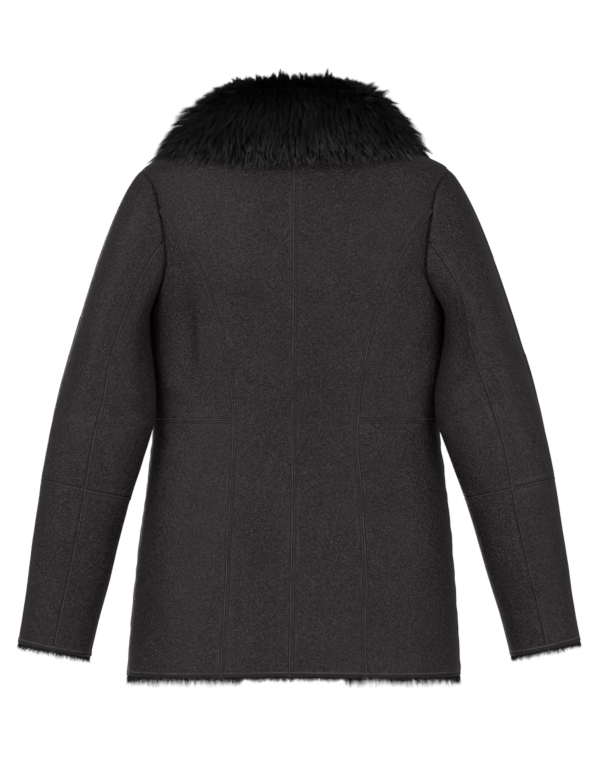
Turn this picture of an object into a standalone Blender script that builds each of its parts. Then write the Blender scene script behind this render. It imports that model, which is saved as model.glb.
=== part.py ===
"""Shearling jacket with a fur collar, filled out as if worn, in metres with +Z up.

The back faces -Y and the front +Y, so the wearer's left side is at -X. The origin is in the middle
of the neck opening, level with the points where the shoulder seams meet the neckline.

The body is one closed curve at each height, read from a table of sections. A point of it is given by
a turn (0 in the middle of the back, a quarter turn at the wearer's right side, pi in the middle of
the front) and a height. A sleeve's point is given by a turn round the arm (0 outside, a quarter turn
at the back, pi on the inside) and a ring number (0 on the armhole, 9 at the cuff). Each panel is a
grid of such points between its seams, given the thickness of the skin.
"""
import math

import bpy
import numpy as np

WALL = 0.005               # skin with its clipped wool
SEAM_GAP = 0.0004          # between two pieces that are sewn together
HEM_BACK = -0.7165         # lowest point of the wool at the hem, middle of the back
HEM_SIDE_DROP = 0.0045     # how much lower the hem hangs at the sides
WAIST = -0.377             # height of the seam across the side back
NAPE = -0.014              # neckline in the middle of the back
THROAT = -0.080            # neckline in the middle of the front
SHOULDER_TIP = -0.052      # top of the armhole
SHOULDER_WIDTH = 0.200     # from the middle to the top of the armhole
UNDERARM = -0.240          # bottom of the armhole
LAP_EDGE = 0.026           # each front reaches this far past the middle
LAP_START = 0.046          # the right front starts to rise this far before the middle
LAP_RISE = WALL + 0.0012   # height of the right front over the left one
PRINCESS_TOP = -0.101      # height at which the curved back seam meets the armhole
SLEEVE_SWING = 0.016       # the right sleeve hangs this much further out, in radians
LAST_RING = 9              # the cuff
CROSS_SEAM_RING = 5        # ring of the seam across the sleeve
CAP_START_PULL = 0.55      # how far the sleeve head follows its first direction
CAP_END_PULL = 0.95
COLLAR_SEAT = 0.0009       # collar's stand to the neckline that it is sewn to
FALL_CLEARANCE = 0.0028    # underside of the fall to the shoulders and back
COLLAR_RIGHT_SHORTER = 0.10   # the collar lies a little narrower over the right shoulder
COLLAR_RIGHT_THINNER = 0.003
COLLAR_END = math.radians(168)
COLLAR_STATIONS = 46
BUTTON_RADIUS = 0.012
BUTTON_THICKNESS = 0.0042
BUTTON_SEAT = 0.0006
BUTTON_HEIGHTS = (-0.195, -0.300, -0.405, -0.510)

QUARTER = math.pi / 2
PRINCESS_AROUND = math.acos((2 * PRINCESS_TOP - SHOULDER_TIP - UNDERARM) / (SHOULDER_TIP - UNDERARM))
FRONT_SEAM_TURN = math.radians(230)


def table(columns, *rows):
    """Named columns of a short table, in the order of the first column."""
    names = columns.split()
    values = dict(zip(names, np.array(sorted(rows), dtype=float).T))
    values["key"] = values[names[0]]
    return values


def read(rows, column, where):
    """Smooth curve through a table's rows: cubic pieces with the rows' own slopes."""
    key, value = rows["key"], rows[column]
    slope = np.gradient(value, key)
    row = np.clip(np.searchsorted(key, where) - 1, 0, len(key) - 2)
    span = key[row + 1] - key[row]
    t = np.clip((where - key[row]) / span, 0.0, 1.0)
    return ((1 + 2 * t) * (1 - t) ** 2 * value[row] + t * (1 - t) ** 2 * span * slope[row]
            + t * t * (3 - 2 * t) * value[row + 1] + t * t * (t - 1) * span * slope[row + 1])


BODY = table(
    "height half_width right_more back front squareness middle_x middle_y",
    (0.006, 0.060, 0.0, 0.064, 0.056, 2.00, 0.0, 0.000),
    (0.000, 0.075, 0.0, 0.070, 0.060, 2.00, 0.0, 0.000),
    (-0.009, 0.100, 0.0, 0.076, 0.065, 2.00, 0.0, 0.000),
    (-0.018, 0.125, 0.0, 0.081, 0.069, 2.00, 0.0, 0.000),
    (-0.027, 0.150, 0.0, 0.085, 0.072, 2.00, 0.0, 0.000),
    (-0.036, 0.173, 0.0, 0.0885, 0.075, 2.05, 0.0, 0.000),
    (-0.044, 0.189, 0.0, 0.091, 0.0775, 2.10, 0.0, 0.001),
    (SHOULDER_TIP, SHOULDER_WIDTH, 0.0, 0.0935, 0.080, 2.10, 0.0, 0.001),
    (-0.065, 0.2055, 0.0, 0.097, 0.084, 2.15, 0.0, 0.002),
    (-0.080, 0.2070, 0.0, 0.1005, 0.088, 2.15, 0.0, 0.002),
    (-0.100, 0.2065, 0.0, 0.1045, 0.094, 2.20, 0.0, 0.003),
    (-0.150, 0.2015, 0.001, 0.1095, 0.107, 2.20, 0.0, 0.005),
    (-0.200, 0.1945, 0.003, 0.1080, 0.117, 2.25, 0.0003, 0.007),
    (UNDERARM, 0.1900, 0.0045, 0.1030, 0.121, 2.25, 0.0005, 0.009),
    (-0.310, 0.1895, 0.0050, 0.0930, 0.114, 2.20, 0.0005, 0.010),
    (-0.351, 0.1880, 0.0025, 0.0875, 0.107, 2.15, 0.0005, 0.010),
    (WAIST, 0.1863, 0.0010, 0.0860, 0.104, 2.15, 0.0007, 0.010),
    (-0.440, 0.1915, 0.0, 0.0930, 0.107, 2.15, 0.0010, 0.009),
    (-0.512, 0.2005, 0.0, 0.1070, 0.117, 2.20, 0.0007, 0.008),
    (-0.600, 0.2093, 0.0, 0.1180, 0.126, 2.20, -0.0008, 0.006),
    (-0.725, 0.2180, 0.0, 0.1260, 0.133, 2.20, -0.0025, 0.004),
)

ARMHOLE = table(
    "height from_middle",
    (SHOULDER_TIP, SHOULDER_WIDTH), (-0.068, 0.187), (-0.095, 0.178), (-0.123, 0.173), (-0.148, 0.170),
    (-0.172, 0.169), (-0.200, 0.1740), (-0.222, 0.1820), (UNDERARM, 0.1900),
)

PRINCESS = table(
    "height from_middle",
    (PRINCESS_TOP, 0.1765), (-0.118, 0.161), (-0.160, 0.1405), (-0.190, 0.124), (-0.234, 0.106),
    (-0.312, 0.0855), (WAIST, 0.079), (-0.475, 0.0835), (-0.579, 0.0895), (-0.720, 0.0955),
)

CENTRE_SEAM = table("height off_middle", (0.0, 0.0), (-0.046, 0.0), (WAIST, -0.003), (-0.720, -0.0035))

SLEEVE = table(
    "ring outer_x outer_z inner_x inner_z right_in middle_y half_depth",
    (1, 0.2853, -0.262, 0.1915, -0.283, -0.0015, -0.017, 0.068),
    (2, 0.3004, -0.315, 0.1855, -0.340, 0.0035, -0.026, 0.064),
    (3, 0.3120, -0.362, 0.1870, -0.389, 0.0035, -0.029, 0.060),
    (4, 0.3209, -0.407, 0.1985, -0.434, 0.0020, -0.027, 0.0580),
    (5, 0.3293, -0.452, 0.2130, -0.477, 0.0010, -0.021, 0.056),
    (6, 0.3372, -0.505, 0.2272, -0.529, 0.0, -0.014, 0.053),
    (7, 0.3452, -0.560, 0.2405, -0.583, -0.0015, -0.006, 0.050),
    (8, 0.3521, -0.612, 0.2548, -0.634, -0.0025, 0.002, 0.048),
    (LAST_RING, 0.3620, -0.669, 0.2680, -0.690, -0.0030, 0.009, 0.046),
)

COLLAR = table(
    "degrees top edge tip",
    (0, 0.068, -0.046, 0.024), (30, 0.068, -0.046, 0.022), (60, 0.066, -0.042, 0.012),
    (90, 0.062, -0.038, 0.004), (120, 0.040, -0.078, 0.014), (150, -0.006, -0.135, 0.020),
    (160, -0.024, -0.145, 0.020), (168, -0.036, -0.128, 0.016),
)

# Soft folds: the line that each one follows, how far it spreads and how high it stands (- is a hollow).
BODY_FOLD_COLUMNS = ("front", "x_top", "z_top", "x_low", "z_low", "spread", "rise")
BODY_FOLDS = (
    (0, -0.097, -0.136, -0.052, -0.286, 0.026, -0.0035),
    (0, 0.098, -0.169, 0.066, -0.280, 0.026, -0.0035),
    (0, -0.148, -0.182, -0.140, -0.305, 0.022, -0.0045),
    (0, 0.157, -0.195, 0.118, -0.345, 0.024, -0.0045),
    (0, 0.094, -0.410, 0.137, -0.540, 0.026, -0.0050),
    (0, 0.088, -0.620, 0.094, -0.720, 0.020, -0.0055),
    (0, 0.112, -0.600, 0.120, -0.720, 0.020, 0.0045),
    (0, -0.142, -0.470, -0.148, -0.560, 0.024, -0.0035),
    (0, -0.088, -0.570, -0.090, -0.720, 0.020, -0.0055),
    (0, -0.028, -0.480, -0.020, -0.720, 0.022, -0.0035),
    (0, -0.060, -0.560, -0.056, -0.720, 0.022, 0.0035),
    (1, -0.120, -0.180, -0.090, -0.330, 0.026, -0.0045),
    (1, 0.126, -0.170, 0.084, -0.340, 0.026, -0.0045),
    (1, -0.110, -0.420, -0.135, -0.600, 0.026, -0.0045),
    (1, 0.105, -0.430, 0.128, -0.640, 0.026, -0.0045),
    (1, -0.080, -0.560, -0.088, -0.720, 0.022, 0.0040),
    (1, 0.075, -0.590, 0.082, -0.720, 0.022, 0.0040),
)

SLEEVE_FOLD_COLUMNS = ("side", "ring_top", "turn_top", "ring_low", "turn_low", "spread", "rise")
SLEEVE_FOLDS = (
    (-1, 0.6, 105, 3.0, 88, 0.022, -0.0050),
    (-1, 2.4, 150, 2.9, 105, 0.014, -0.0040),
    (-1, 4.2, 60, 5.6, 80, 0.018, -0.0030),
    (-1, 3.6, 285, 4.6, 240, 0.018, -0.0045),
    (-1, 5.4, 290, 6.0, 235, 0.018, -0.0035),
    (1, 0.5, 120, 1.6, 135, 0.020, -0.0055),
    (1, 0.9, 95, 2.2, 70, 0.022, 0.0030),
    (1, 1.6, 110, 3.2, 92, 0.022, -0.0050),
    (1, 3.0, 140, 2.6, 90, 0.014, -0.0040),
    (1, 3.9, 290, 4.8, 235, 0.018, -0.0045),
    (1, 5.6, 285, 6.2, 240, 0.018, -0.0035),
)
RING_LENGTH = 0.050        # between two rings of the sleeve, along the arm
ARM_RADIUS = 0.058


def smooth_step(low, high, value):
    """0 below low, 1 above high, and an S-shaped rise between."""
    t = np.clip((value - low) / (high - low), 0.0, 1.0)
    return t * t * (3 - 2 * t)


def unit(vectors):
    return vectors / np.linalg.norm(vectors, axis=-1, keepdims=True)


def fold_height(across, along, start, end, spread, rise):
    """A fold's rise at (across, along): a bell round the line from start to end, fading past its ends."""
    line = np.subtract(end, start)
    share = np.clip(((across - start[0]) * line[0] + (along - start[1]) * line[1]) / line.dot(line), 0, 1)
    gap = np.hypot(across - start[0] - share * line[0], along - start[1] - share * line[1])
    return rise * np.exp(-(gap / spread) ** 2)


# ---------------------------------------------------------------- body surface

def body_folds(x, height, on_front):
    total = np.zeros(np.broadcast(x, height).shape)
    for row in BODY_FOLDS:
        fold = dict(zip(BODY_FOLD_COLUMNS, row))
        start, end = (fold["x_top"], fold["z_top"]), (fold["x_low"], fold["z_low"])
        here = fold_height(x, height, start, end, fold["spread"], fold["rise"])
        total = total + here * np.where(on_front, fold["front"], 1 - fold["front"])
    return total


def half_width(on_right, height):
    """Half of the body's width on one side; the right side stands out a little more at the chest."""
    return read(BODY, "half_width", height) + np.where(on_right, read(BODY, "right_more", height), 0.0)


def body_point(turn, height, lapped=False, lift=0.0):
    """Point of the body's outer face: a rounded section of the table's width and depths.

    lapped adds the rise of the right front over the left one, lift moves the point outwards.
    """
    turn, height = np.broadcast_arrays(np.asarray(turn, float), np.asarray(height, float))
    on_front = np.cos(turn) < 0
    depth = np.where(on_front, read(BODY, "front", height), read(BODY, "back", height))
    power = read(BODY, "squareness", height)
    radius = ((np.abs(np.sin(turn)) / half_width(np.sin(turn) > 0, height)) ** power
              + (np.abs(np.cos(turn)) / depth) ** power) ** (-1 / power)
    x = radius * np.sin(turn)
    fade = smooth_step(0.0, 0.25, np.abs(np.cos(turn)))
    radius = radius + lift + body_folds(x, height, on_front) * fade
    if lapped:
        radius = radius + LAP_RISE * np.where(on_front, 1 - smooth_step(LAP_EDGE, LAP_START, x), 0.0)
    x = read(BODY, "middle_x", height) + radius * np.sin(turn)
    y = read(BODY, "middle_y", height) - radius * np.cos(turn)
    return np.stack([x, y, height], axis=-1)


def body_normal(turn, height, lapped=False):
    """Outward direction of the body's face, square to both of its parameters."""
    step = 0.0005
    around = body_point(turn + step, height, lapped) - body_point(turn - step, height, lapped)
    upward = body_point(turn, height + step, lapped) - body_point(turn, height - step, lapped)
    return unit(np.cross(around, upward))


def turn_at(side, x, height, front=False):
    """Turn at which the body's face is x from its middle line, x counted towards the given side."""
    share = np.clip(np.abs(x) / half_width(side * x > 0, height), 0.0, 1.0)
    power = read(BODY, "squareness", height)
    depth = read(BODY, "front" if front else "back", height) * (1 - share ** power) ** (1 / power)
    turn = np.arctan2(x, depth)
    return side * (math.pi - turn if front else turn)


# ------------------------------------------------------- seams, as (turn, height) points

def points(turn, height):
    return np.stack(np.broadcast_arrays(np.asarray(turn, float), np.asarray(height, float)), axis=-1)


def joined(*lines):
    """Lines end to end, each one's first point being the last of the one before."""
    return np.concatenate([lines[0]] + [line[1:] for line in lines[1:]])


def hem_height(turn):
    return HEM_BACK - HEM_SIDE_DROP * np.sin(turn) ** 2


def neck_height(turn):
    return np.where(np.cos(turn) > 0, NAPE, THROAT) * np.cos(turn) ** 4


def armhole(side, around):
    """The armhole: around is 0 at the shoulder, a quarter turn at the back, pi under the arm."""
    middle, half = (SHOULDER_TIP + UNDERARM) / 2, (SHOULDER_TIP - UNDERARM) / 2
    height = middle + half * np.cos(around)
    more = half_width(side > 0, height) - half_width(False, height)
    x = read(ARMHOLE, "from_middle", height) + more * smooth_step(-0.180, UNDERARM, height)
    x = np.minimum(x, half_width(side > 0, height))
    back, front = turn_at(side, x, height), turn_at(side, x, height, front=True)
    return points(np.where(np.sin(around) >= 0, back, front), height)


def princess(side, heights):
    return points(turn_at(side, read(PRINCESS, "from_middle", heights), heights), heights)


def centre_seam(heights):
    return points(turn_at(1, read(CENTRE_SEAM, "off_middle", heights), heights), heights)


FRONT_YOKE = 4             # points of the front armhole above the yoke line
LOW_ROWS = 12              # hem to waist
HIGH_ROWS = 9              # waist to armhole
TIP_AROUND = np.linspace(0.0, PRINCESS_AROUND, 3)
BACK_AROUND = np.concatenate([np.linspace(PRINCESS_AROUND, QUARTER, 3)[:-1],
                              np.linspace(QUARTER, math.pi, 5)])
FRONT_AROUND = np.concatenate([np.linspace(math.pi, FRONT_SEAM_TURN, 3)[:-1],
                               np.linspace(FRONT_SEAM_TURN, 2 * math.pi, 6)])
SHOULDER_HEIGHTS = np.linspace(0.0, SHOULDER_TIP, 5)
LOW_HEIGHTS = np.linspace(0.0, 1.0, LOW_ROWS)
HIGH_HEIGHTS = np.linspace(0.0, 1.0, HIGH_ROWS)


def princess_low(side):
    foot = hem_height(turn_at(side, read(PRINCESS, "from_middle", HEM_BACK), HEM_BACK))
    return princess(side, foot + LOW_HEIGHTS * (WAIST - foot))


def princess_high(side):
    line = princess(side, WAIST + HIGH_HEIGHTS * (PRINCESS_TOP - WAIST))
    line[-1] = armhole(side, PRINCESS_AROUND)
    return line


def side_low(side):
    foot = hem_height(QUARTER)
    return points(side * QUARTER, foot + LOW_HEIGHTS * (WAIST - foot))


def side_high(side):
    return points(side * QUARTER, WAIST + HIGH_HEIGHTS * (UNDERARM - WAIST))


def waist_line(side, count):
    start = princess(side, np.array([WAIST]))[0, 0]
    return points(np.linspace(start, side * QUARTER, count), WAIST)


def shoulder_line(side):
    return points(side * QUARTER, SHOULDER_HEIGHTS)


# ---------------------------------------------------------------- sleeve surface

def sleeve_tube(side, turn, ring):
    """The sleeve below its head: at each ring an ellipse in a plane square to the arm."""
    outer = np.stack([read(SLEEVE, "outer_x", ring), read(SLEEVE, "outer_z", ring)], axis=-1)
    nearer = read(SLEEVE, "right_in", ring) if side > 0 else 0.0
    inner = np.stack([read(SLEEVE, "inner_x", ring) - nearer, read(SLEEVE, "inner_z", ring)], axis=-1)
    centre, reach = (outer + inner) / 2, (outer - inner) / 2
    x = centre[..., 0] + reach[..., 0] * np.cos(turn)
    z = centre[..., 1] + reach[..., 1] * np.cos(turn)
    y = read(SLEEVE, "middle_y", ring) - read(SLEEVE, "half_depth", ring) * np.sin(turn)
    swing = SLEEVE_SWING if side > 0 else 0.0
    far, drop = x - SHOULDER_WIDTH, z - SHOULDER_TIP
    x = SHOULDER_WIDTH + far * math.cos(swing) - drop * math.sin(swing)
    z = SHOULDER_TIP + far * math.sin(swing) + drop * math.cos(swing)
    return np.stack(np.broadcast_arrays(side * x, y, z), axis=-1)


def sleeve_head(side, turn, share):
    """From the armhole (share 0) to ring 1 (share 1): a cubic curve for each turn round the arm."""
    start = body_point(*np.moveaxis(armhole(side, turn), -1, 0))
    end = sleeve_tube(side, turn, np.ones_like(turn))
    end_way = unit(sleeve_tube(side, turn, np.full_like(turn, 1.02)) - end)
    top = (1 + np.cos(turn)) / 2
    start_way = unit(np.stack([side * (0.20 + 0.55 * top + 0.50 * np.abs(np.sin(turn))),
                               -0.35 * np.sin(turn), -(1.0 - 0.34 * top)], axis=-1))
    reach = np.linalg.norm(end - start, axis=-1, keepdims=True)
    t = share[..., None]
    return ((1 + 2 * t) * (1 - t) ** 2 * start + t * (1 - t) ** 2 * reach * CAP_START_PULL * start_way
            + t * t * (3 - 2 * t) * end + t * t * (t - 1) * reach * CAP_END_PULL * end_way)


def sleeve_folds(side, turn, ring):
    total = np.zeros(np.broadcast(turn, ring).shape)
    for row in SLEEVE_FOLDS:
        fold = dict(zip(SLEEVE_FOLD_COLUMNS, row))
        if fold["side"] != side:
            continue
        start = (math.radians(fold["turn_top"]) * ARM_RADIUS, fold["ring_top"] * RING_LENGTH)
        end = (math.radians(fold["turn_low"]) * ARM_RADIUS, fold["ring_low"] * RING_LENGTH)
        around = np.mod(turn, 2 * math.pi) * ARM_RADIUS
        total = total + fold_height(around, ring * RING_LENGTH, start, end, fold["spread"], fold["rise"])
    return total * smooth_step(0.0, 0.5, ring)


def sleeve_point(side, turn, ring):
    """Point of the sleeve's outer face, with its folds pushed in towards the arm's middle."""
    turn, ring = np.broadcast_arrays(np.asarray(turn, float), np.asarray(ring, float))
    head = sleeve_head(side, turn, np.clip(ring, 0.0, 1.0))
    tube = sleeve_tube(side, turn, np.maximum(ring, 1.0))
    point = np.where((ring < 1)[..., None], head, tube)
    outwards = np.stack([side * np.cos(turn), -np.sin(turn), np.zeros_like(turn)], axis=-1)
    return point + outwards * sleeve_folds(side, turn, ring)[..., None]


def sleeve_normal(side, turn, ring):
    step = 0.004
    low, high = np.maximum(ring - step, 0.0), np.minimum(ring + step, LAST_RING)
    around = sleeve_point(side, turn + step, ring) - sleeve_point(side, turn - step, ring)
    downward = sleeve_point(side, turn, high) - sleeve_point(side, turn, low)
    return unit(side * np.cross(around, downward))


def armhole_offsets(side, around):
    """From the seam's outer line to its inner line, for the body's wall and for the sleeve's.

    Where the sleeve turns down over the shoulder both walls end on the line that halves the corner.
    Where it folds back on the body each keeps its own direction, because there they lean apart.
    """
    spot = armhole(side, around)
    body = body_normal(spot[..., 0], spot[..., 1])
    sleeve = sleeve_normal(side, around, np.zeros_like(around))
    leaving = unit(sleeve_point(side, around, 0.02) - sleeve_point(side, around, 0.0))
    corner = smooth_step(0.05, -0.15, np.sum(leaving * body, axis=-1))[..., None]
    halfway = unit(body + sleeve)
    halfway = halfway / np.maximum(np.sum(halfway * body, axis=-1), 0.6)[..., None]
    return WALL * (body + (halfway - body) * corner), WALL * (sleeve + (halfway - sleeve) * corner)


# ---------------------------------------------------------------- meshes

def material(name, colour, roughness):
    made = bpy.data.materials.new(name)
    made.use_nodes = True
    shader = made.node_tree.nodes["Principled BSDF"]
    shader.inputs["Base Color"].default_value = (*colour, 1.0)
    shader.inputs["Roughness"].default_value = roughness
    shader.inputs["Metallic"].default_value = 0.0
    return made


def add_object(name, vertices, faces, finish):
    mesh = bpy.data.meshes.new(name)
    mesh.from_pydata([tuple(vertex) for vertex in vertices], [], faces)
    mesh.update()
    mesh.shade_smooth()
    mesh.set_sharp_from_angle(angle=math.radians(50))
    mesh.materials.append(finish)
    made = bpy.data.objects.new(name, mesh)
    bpy.context.scene.collection.objects.link(made)
    return made


def coons(bottom, right, top, left):
    """Grid between four lines of (turn, height) points: each row and column follows its two edges."""
    u = np.linspace(0, 1, len(bottom))[:, None, None]
    v = np.linspace(0, 1, len(left))[None, :, None]
    across = (1 - v) * bottom[:, None] + v * top[:, None]
    upward = (1 - u) * left[None] + u * right[None]
    corners = ((1 - u) * (1 - v) * bottom[0] + u * (1 - v) * bottom[-1]
               + (1 - u) * v * top[0] + u * v * top[-1])
    return across + upward - corners


def yoked(bottom, right, top, left, row):
    """Two grids one above the other, parted at the given row by a straight line in turn and height.

    The neckline and shoulder bend sharply, so only the grid above the yoke line follows them.
    """
    yoke = np.linspace(left[row], right[row], len(bottom))
    lower = coons(bottom, right[:row + 1], yoke, left[:row + 1])
    upper = coons(yoke, right[row:], top, left[row:])
    return np.concatenate([lower, upper[:, 1:]], axis=1)


EDGES = ((np.s_[0, :], np.s_[1, :]), (np.s_[-1, :], np.s_[-2, :]),
         (np.s_[:, 0], np.s_[:, 1]), (np.s_[:, -1], np.s_[:, -2]))


def drawn_in(outer, normal):
    """How far each point of a panel moves so that its edges leave half of the seam's gap."""
    shift = np.zeros_like(outer)
    for edge, neighbour in EDGES:
        along = np.gradient(outer[edge], axis=0)
        square = unit(np.cross(normal[edge], along))
        towards = np.sum(square * (outer[neighbour] - outer[edge]), axis=-1, keepdims=True)
        shift[edge] += SEAM_GAP / 2 * square * np.sign(towards)
    return shift


RIM_ORDER = np.array([0.31, 0.17, 0.93])


def wall(name, outer, normal, offset, finish):
    """Closed panel: an outer grid, the same grid moved in by offset, and a rim round both.

    The rim's triangles are cut along the same diagonal as the neighbour's, by a rule on the points'
    places, so that two twisted rims stay apart.
    """
    shift = drawn_in(outer, normal)
    inner = outer - offset + shift
    outer = outer + shift
    columns, rows = outer.shape[:2]
    number = np.arange(columns * rows).reshape(columns, rows)
    size = columns * rows
    quads = np.stack([number[:-1, :-1], number[1:, :-1], number[1:, 1:], number[:-1, 1:]], axis=-1)
    quads = quads.reshape(-1, 4)
    loop = np.concatenate([number[:-1, 0], number[-1, :-1], number[:0:-1, -1], number[0, :0:-1]])
    after = np.roll(loop, -1)
    vertices = np.concatenate([outer.reshape(-1, 3), inner.reshape(-1, 3)])
    level = vertices @ RIM_ORDER
    falling = (level[after] < level[loop])[:, None]
    first = np.where(falling, np.stack([after, loop, after + size], -1), np.stack([after, loop, loop + size], -1))
    second = np.where(falling, np.stack([loop, loop + size, after + size], -1),
                      np.stack([after, loop + size, after + size], -1))
    faces = quads.tolist() + (quads[:, ::-1] + size).tolist() + first.tolist() + second.tolist()
    facing = np.cross(outer[1, 0] - outer[0, 0], outer[0, 1] - outer[0, 0])
    if np.dot(facing, normal[0, 0]) < 0:
        faces = [face[::-1] for face in faces]
    return add_object(name, vertices, faces, finish)


def body_panel(name, side, grid, finish, lapped=False, armhole_edge=None):
    """Panel of the body. armhole_edge names the edge on the armhole and its places round it."""
    turn, height = grid[..., 0], grid[..., 1]
    outer = body_point(turn, height, lapped)
    normal = body_normal(turn, height, lapped)
    offset = WALL * normal
    if armhole_edge:
        edge, around = armhole_edge
        offset[edge] = armhole_offsets(side, around)[0]
    return wall(name, outer, normal, offset, finish)


# ---------------------------------------------------------------- the body's panels

def back_centre(side, label, finish):
    """Centre seam to curved seam, hem to neckline and shoulder."""
    outer = joined(princess_low(side), princess_high(side), armhole(side, TIP_AROUND[::-1]))
    nape = float(neck_height(0.0))
    share = (outer[:, 1] - outer[0, 1]) / (outer[-1, 1] - outer[0, 1])
    inner = centre_seam(HEM_BACK + share * (nape - HEM_BACK))
    hem_turns = np.linspace(inner[0, 0], outer[0, 0], 9)
    neck_turns = np.linspace(inner[-1, 0], side * QUARTER, 5)
    bottom = points(hem_turns, hem_height(hem_turns))
    bottom[0] = inner[0]
    top = joined(points(neck_turns, neck_height(neck_turns)), shoulder_line(side))
    top[0] = inner[-1]
    edge = (np.s_[-1, -len(TIP_AROUND):], TIP_AROUND[::-1])
    grid = yoked(bottom, outer, top, inner, len(outer) - len(TIP_AROUND))
    body_panel(f"back_centre_{label}", side, grid, finish, armhole_edge=edge)


def back_side(side, label, finish):
    """The two pieces between the curved seam and the side seam, above and below the waist seam."""
    waist = waist_line(side, len(BACK_AROUND))
    top = armhole(side, BACK_AROUND)
    edge = (np.s_[:, -1], BACK_AROUND)
    upper = coons(waist, side_high(side), top, princess_high(side))
    body_panel(f"back_side_upper_{label}", side, upper, finish, armhole_edge=edge)
    hem_turns = np.linspace(princess_low(side)[0, 0], side * QUARTER, len(BACK_AROUND))
    hem = points(hem_turns, hem_height(hem_turns))
    lower = coons(hem, side_low(side), waist, princess_low(side))
    body_panel(f"back_side_lower_{label}", side, lower, finish)


def front_column(side, x, share):
    """A line down the front at x from the middle, its points spread between hem and neckline."""
    foot = hem_height(turn_at(side, x, HEM_BACK, front=True))
    top = neck_height(turn_at(side, x, THROAT, front=True))
    heights = foot + share * (top - foot)
    return points(turn_at(side, np.full(len(share), x), heights, front=True), heights)


def front(side, label, finish):
    """Side seam to front edge, hem to armhole, shoulder and neckline.

    The strip that overlaps the other front is laid out in columns, so the rise falls between two.
    """
    outer = joined(side_low(side), side_high(side), armhole(side, FRONT_AROUND))
    share = (outer[:, 1] - outer[0, 1]) / (outer[-1, 1] - outer[0, 1])
    strip = [front_column(side, x, share) for x in (LAP_START, LAP_EDGE, 0.0, -LAP_EDGE)]
    hem_turns = np.linspace(side * QUARTER, strip[0][0, 0], 10)
    neck_turns = np.linspace(side * QUARTER, strip[0][-1, 0], 6)
    bottom = points(hem_turns, hem_height(hem_turns))
    top = joined(shoulder_line(side)[::-1], points(neck_turns, neck_height(neck_turns)))
    bottom[-1], top[-1] = strip[0][0], strip[0][-1]
    main = yoked(bottom, strip[0], top, outer, len(outer) - FRONT_YOKE)
    grid = np.concatenate([main, strip[1:]])
    edge = (np.s_[0, -len(FRONT_AROUND):], FRONT_AROUND)
    body_panel(f"front_{label}", side, grid, finish, side > 0, edge)


# ---------------------------------------------------------------- the sleeve's panels

UPPER_RINGS = np.concatenate([np.linspace(0, 1, 7), np.linspace(1, CROSS_SEAM_RING, 9)[1:]])
LOWER_RINGS = np.linspace(CROSS_SEAM_RING, LAST_RING, 9)
UNDER_TURNS = np.concatenate([BACK_AROUND[2:], FRONT_AROUND[1:3]])
TOP_TURNS = np.concatenate([FRONT_AROUND[2:-1] - 2 * math.pi, TIP_AROUND, BACK_AROUND[1:3]])


def sleeve_piece(name, side, turns, rings, finish):
    turn, ring = np.meshgrid(turns, rings, indexing="ij")
    outer = sleeve_point(side, turn, ring)
    normal = sleeve_normal(side, turn, ring)
    offset = WALL * normal
    if rings[0] == 0:
        offset[:, 0] = armhole_offsets(side, turns)[1]
    wall(name, outer, normal, offset, finish)


def sleeve(side, label, finish):
    """Top and under sleeve, each cut in two at the cross seam."""
    for piece, turns in (("top", TOP_TURNS), ("under", UNDER_TURNS)):
        sleeve_piece(f"sleeve_{piece}_upper_{label}", side, turns, UPPER_RINGS, finish)
        sleeve_piece(f"sleeve_{piece}_lower_{label}", side, turns, LOWER_RINGS, finish)


# ---------------------------------------------------------------- the collar

def collar_base(turn, height):
    """Distance from the body's middle line at which the collar lies, above the lap of the fronts."""
    lap = LAP_RISE * smooth_step(0.075, 0.055, np.abs(np.sin(turn)) * 0.10) * (np.cos(turn) < 0)
    spot = body_point(turn, height, lift=lap)
    return np.hypot(spot[..., 0] - read(BODY, "middle_x", height), spot[..., 1] - read(BODY, "middle_y", height))


def collar_section(turn):
    """One section of the collar, as (distance from the middle, height) points round it.

    Up the inside of the stand, over the top, down the outside of the fur to its lower edge, back
    along the body, and up and down the narrow gap between the fall and the stand.
    """
    degrees = abs(math.degrees(turn))
    top, edge, tip = (float(read(COLLAR, column, degrees)) for column in ("top", "edge", "tip"))
    base = float(neck_height(turn))
    narrowing = max(math.sin(turn), 0.0)
    edge = base + (edge - base) * (1 - COLLAR_RIGHT_SHORTER * narrowing)
    tip = tip - COLLAR_RIGHT_THINNER * narrowing
    neck = float(collar_base(turn, base))
    rise = top - base
    seat = COLLAR_SEAT * (1 + 1.6 * float(smooth_step(110, 150, degrees)))
    stand = [(neck - WALL, base + seat), (neck - 0.010, base + 0.35 * rise),
             (neck - 0.007, base + 0.80 * rise)]
    under_heights = base + np.linspace(1.0, 0.16, 5) * (edge - base)
    radii = collar_base(np.full(len(under_heights), turn), under_heights)
    slope = np.gradient(radii, under_heights)
    lift = FALL_CLEARANCE / np.sqrt(1 + slope ** 2)
    under = np.stack([radii + lift, under_heights - lift * slope], axis=-1)
    corner = np.array([(neck + 0.006, top), (neck + 0.040, top - 0.003),
                       (under[0, 0] + tip - 0.012, edge + 0.043), (under[0, 0] + tip, edge + 0.002)])
    t = np.linspace(0, 1, 8)[:, None]
    fur = ((1 - t) ** 3 * corner[0] + 3 * t * (1 - t) ** 2 * corner[1]
           + 3 * t * t * (1 - t) * corner[2] + t ** 3 * corner[3])
    fold = [(neck + 0.012, base + 0.55 * rise), (neck + 0.009, base + 0.55 * rise)]
    return np.concatenate([stand, fur, under, fold, [(neck + 0.001, base + seat)]])


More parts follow.
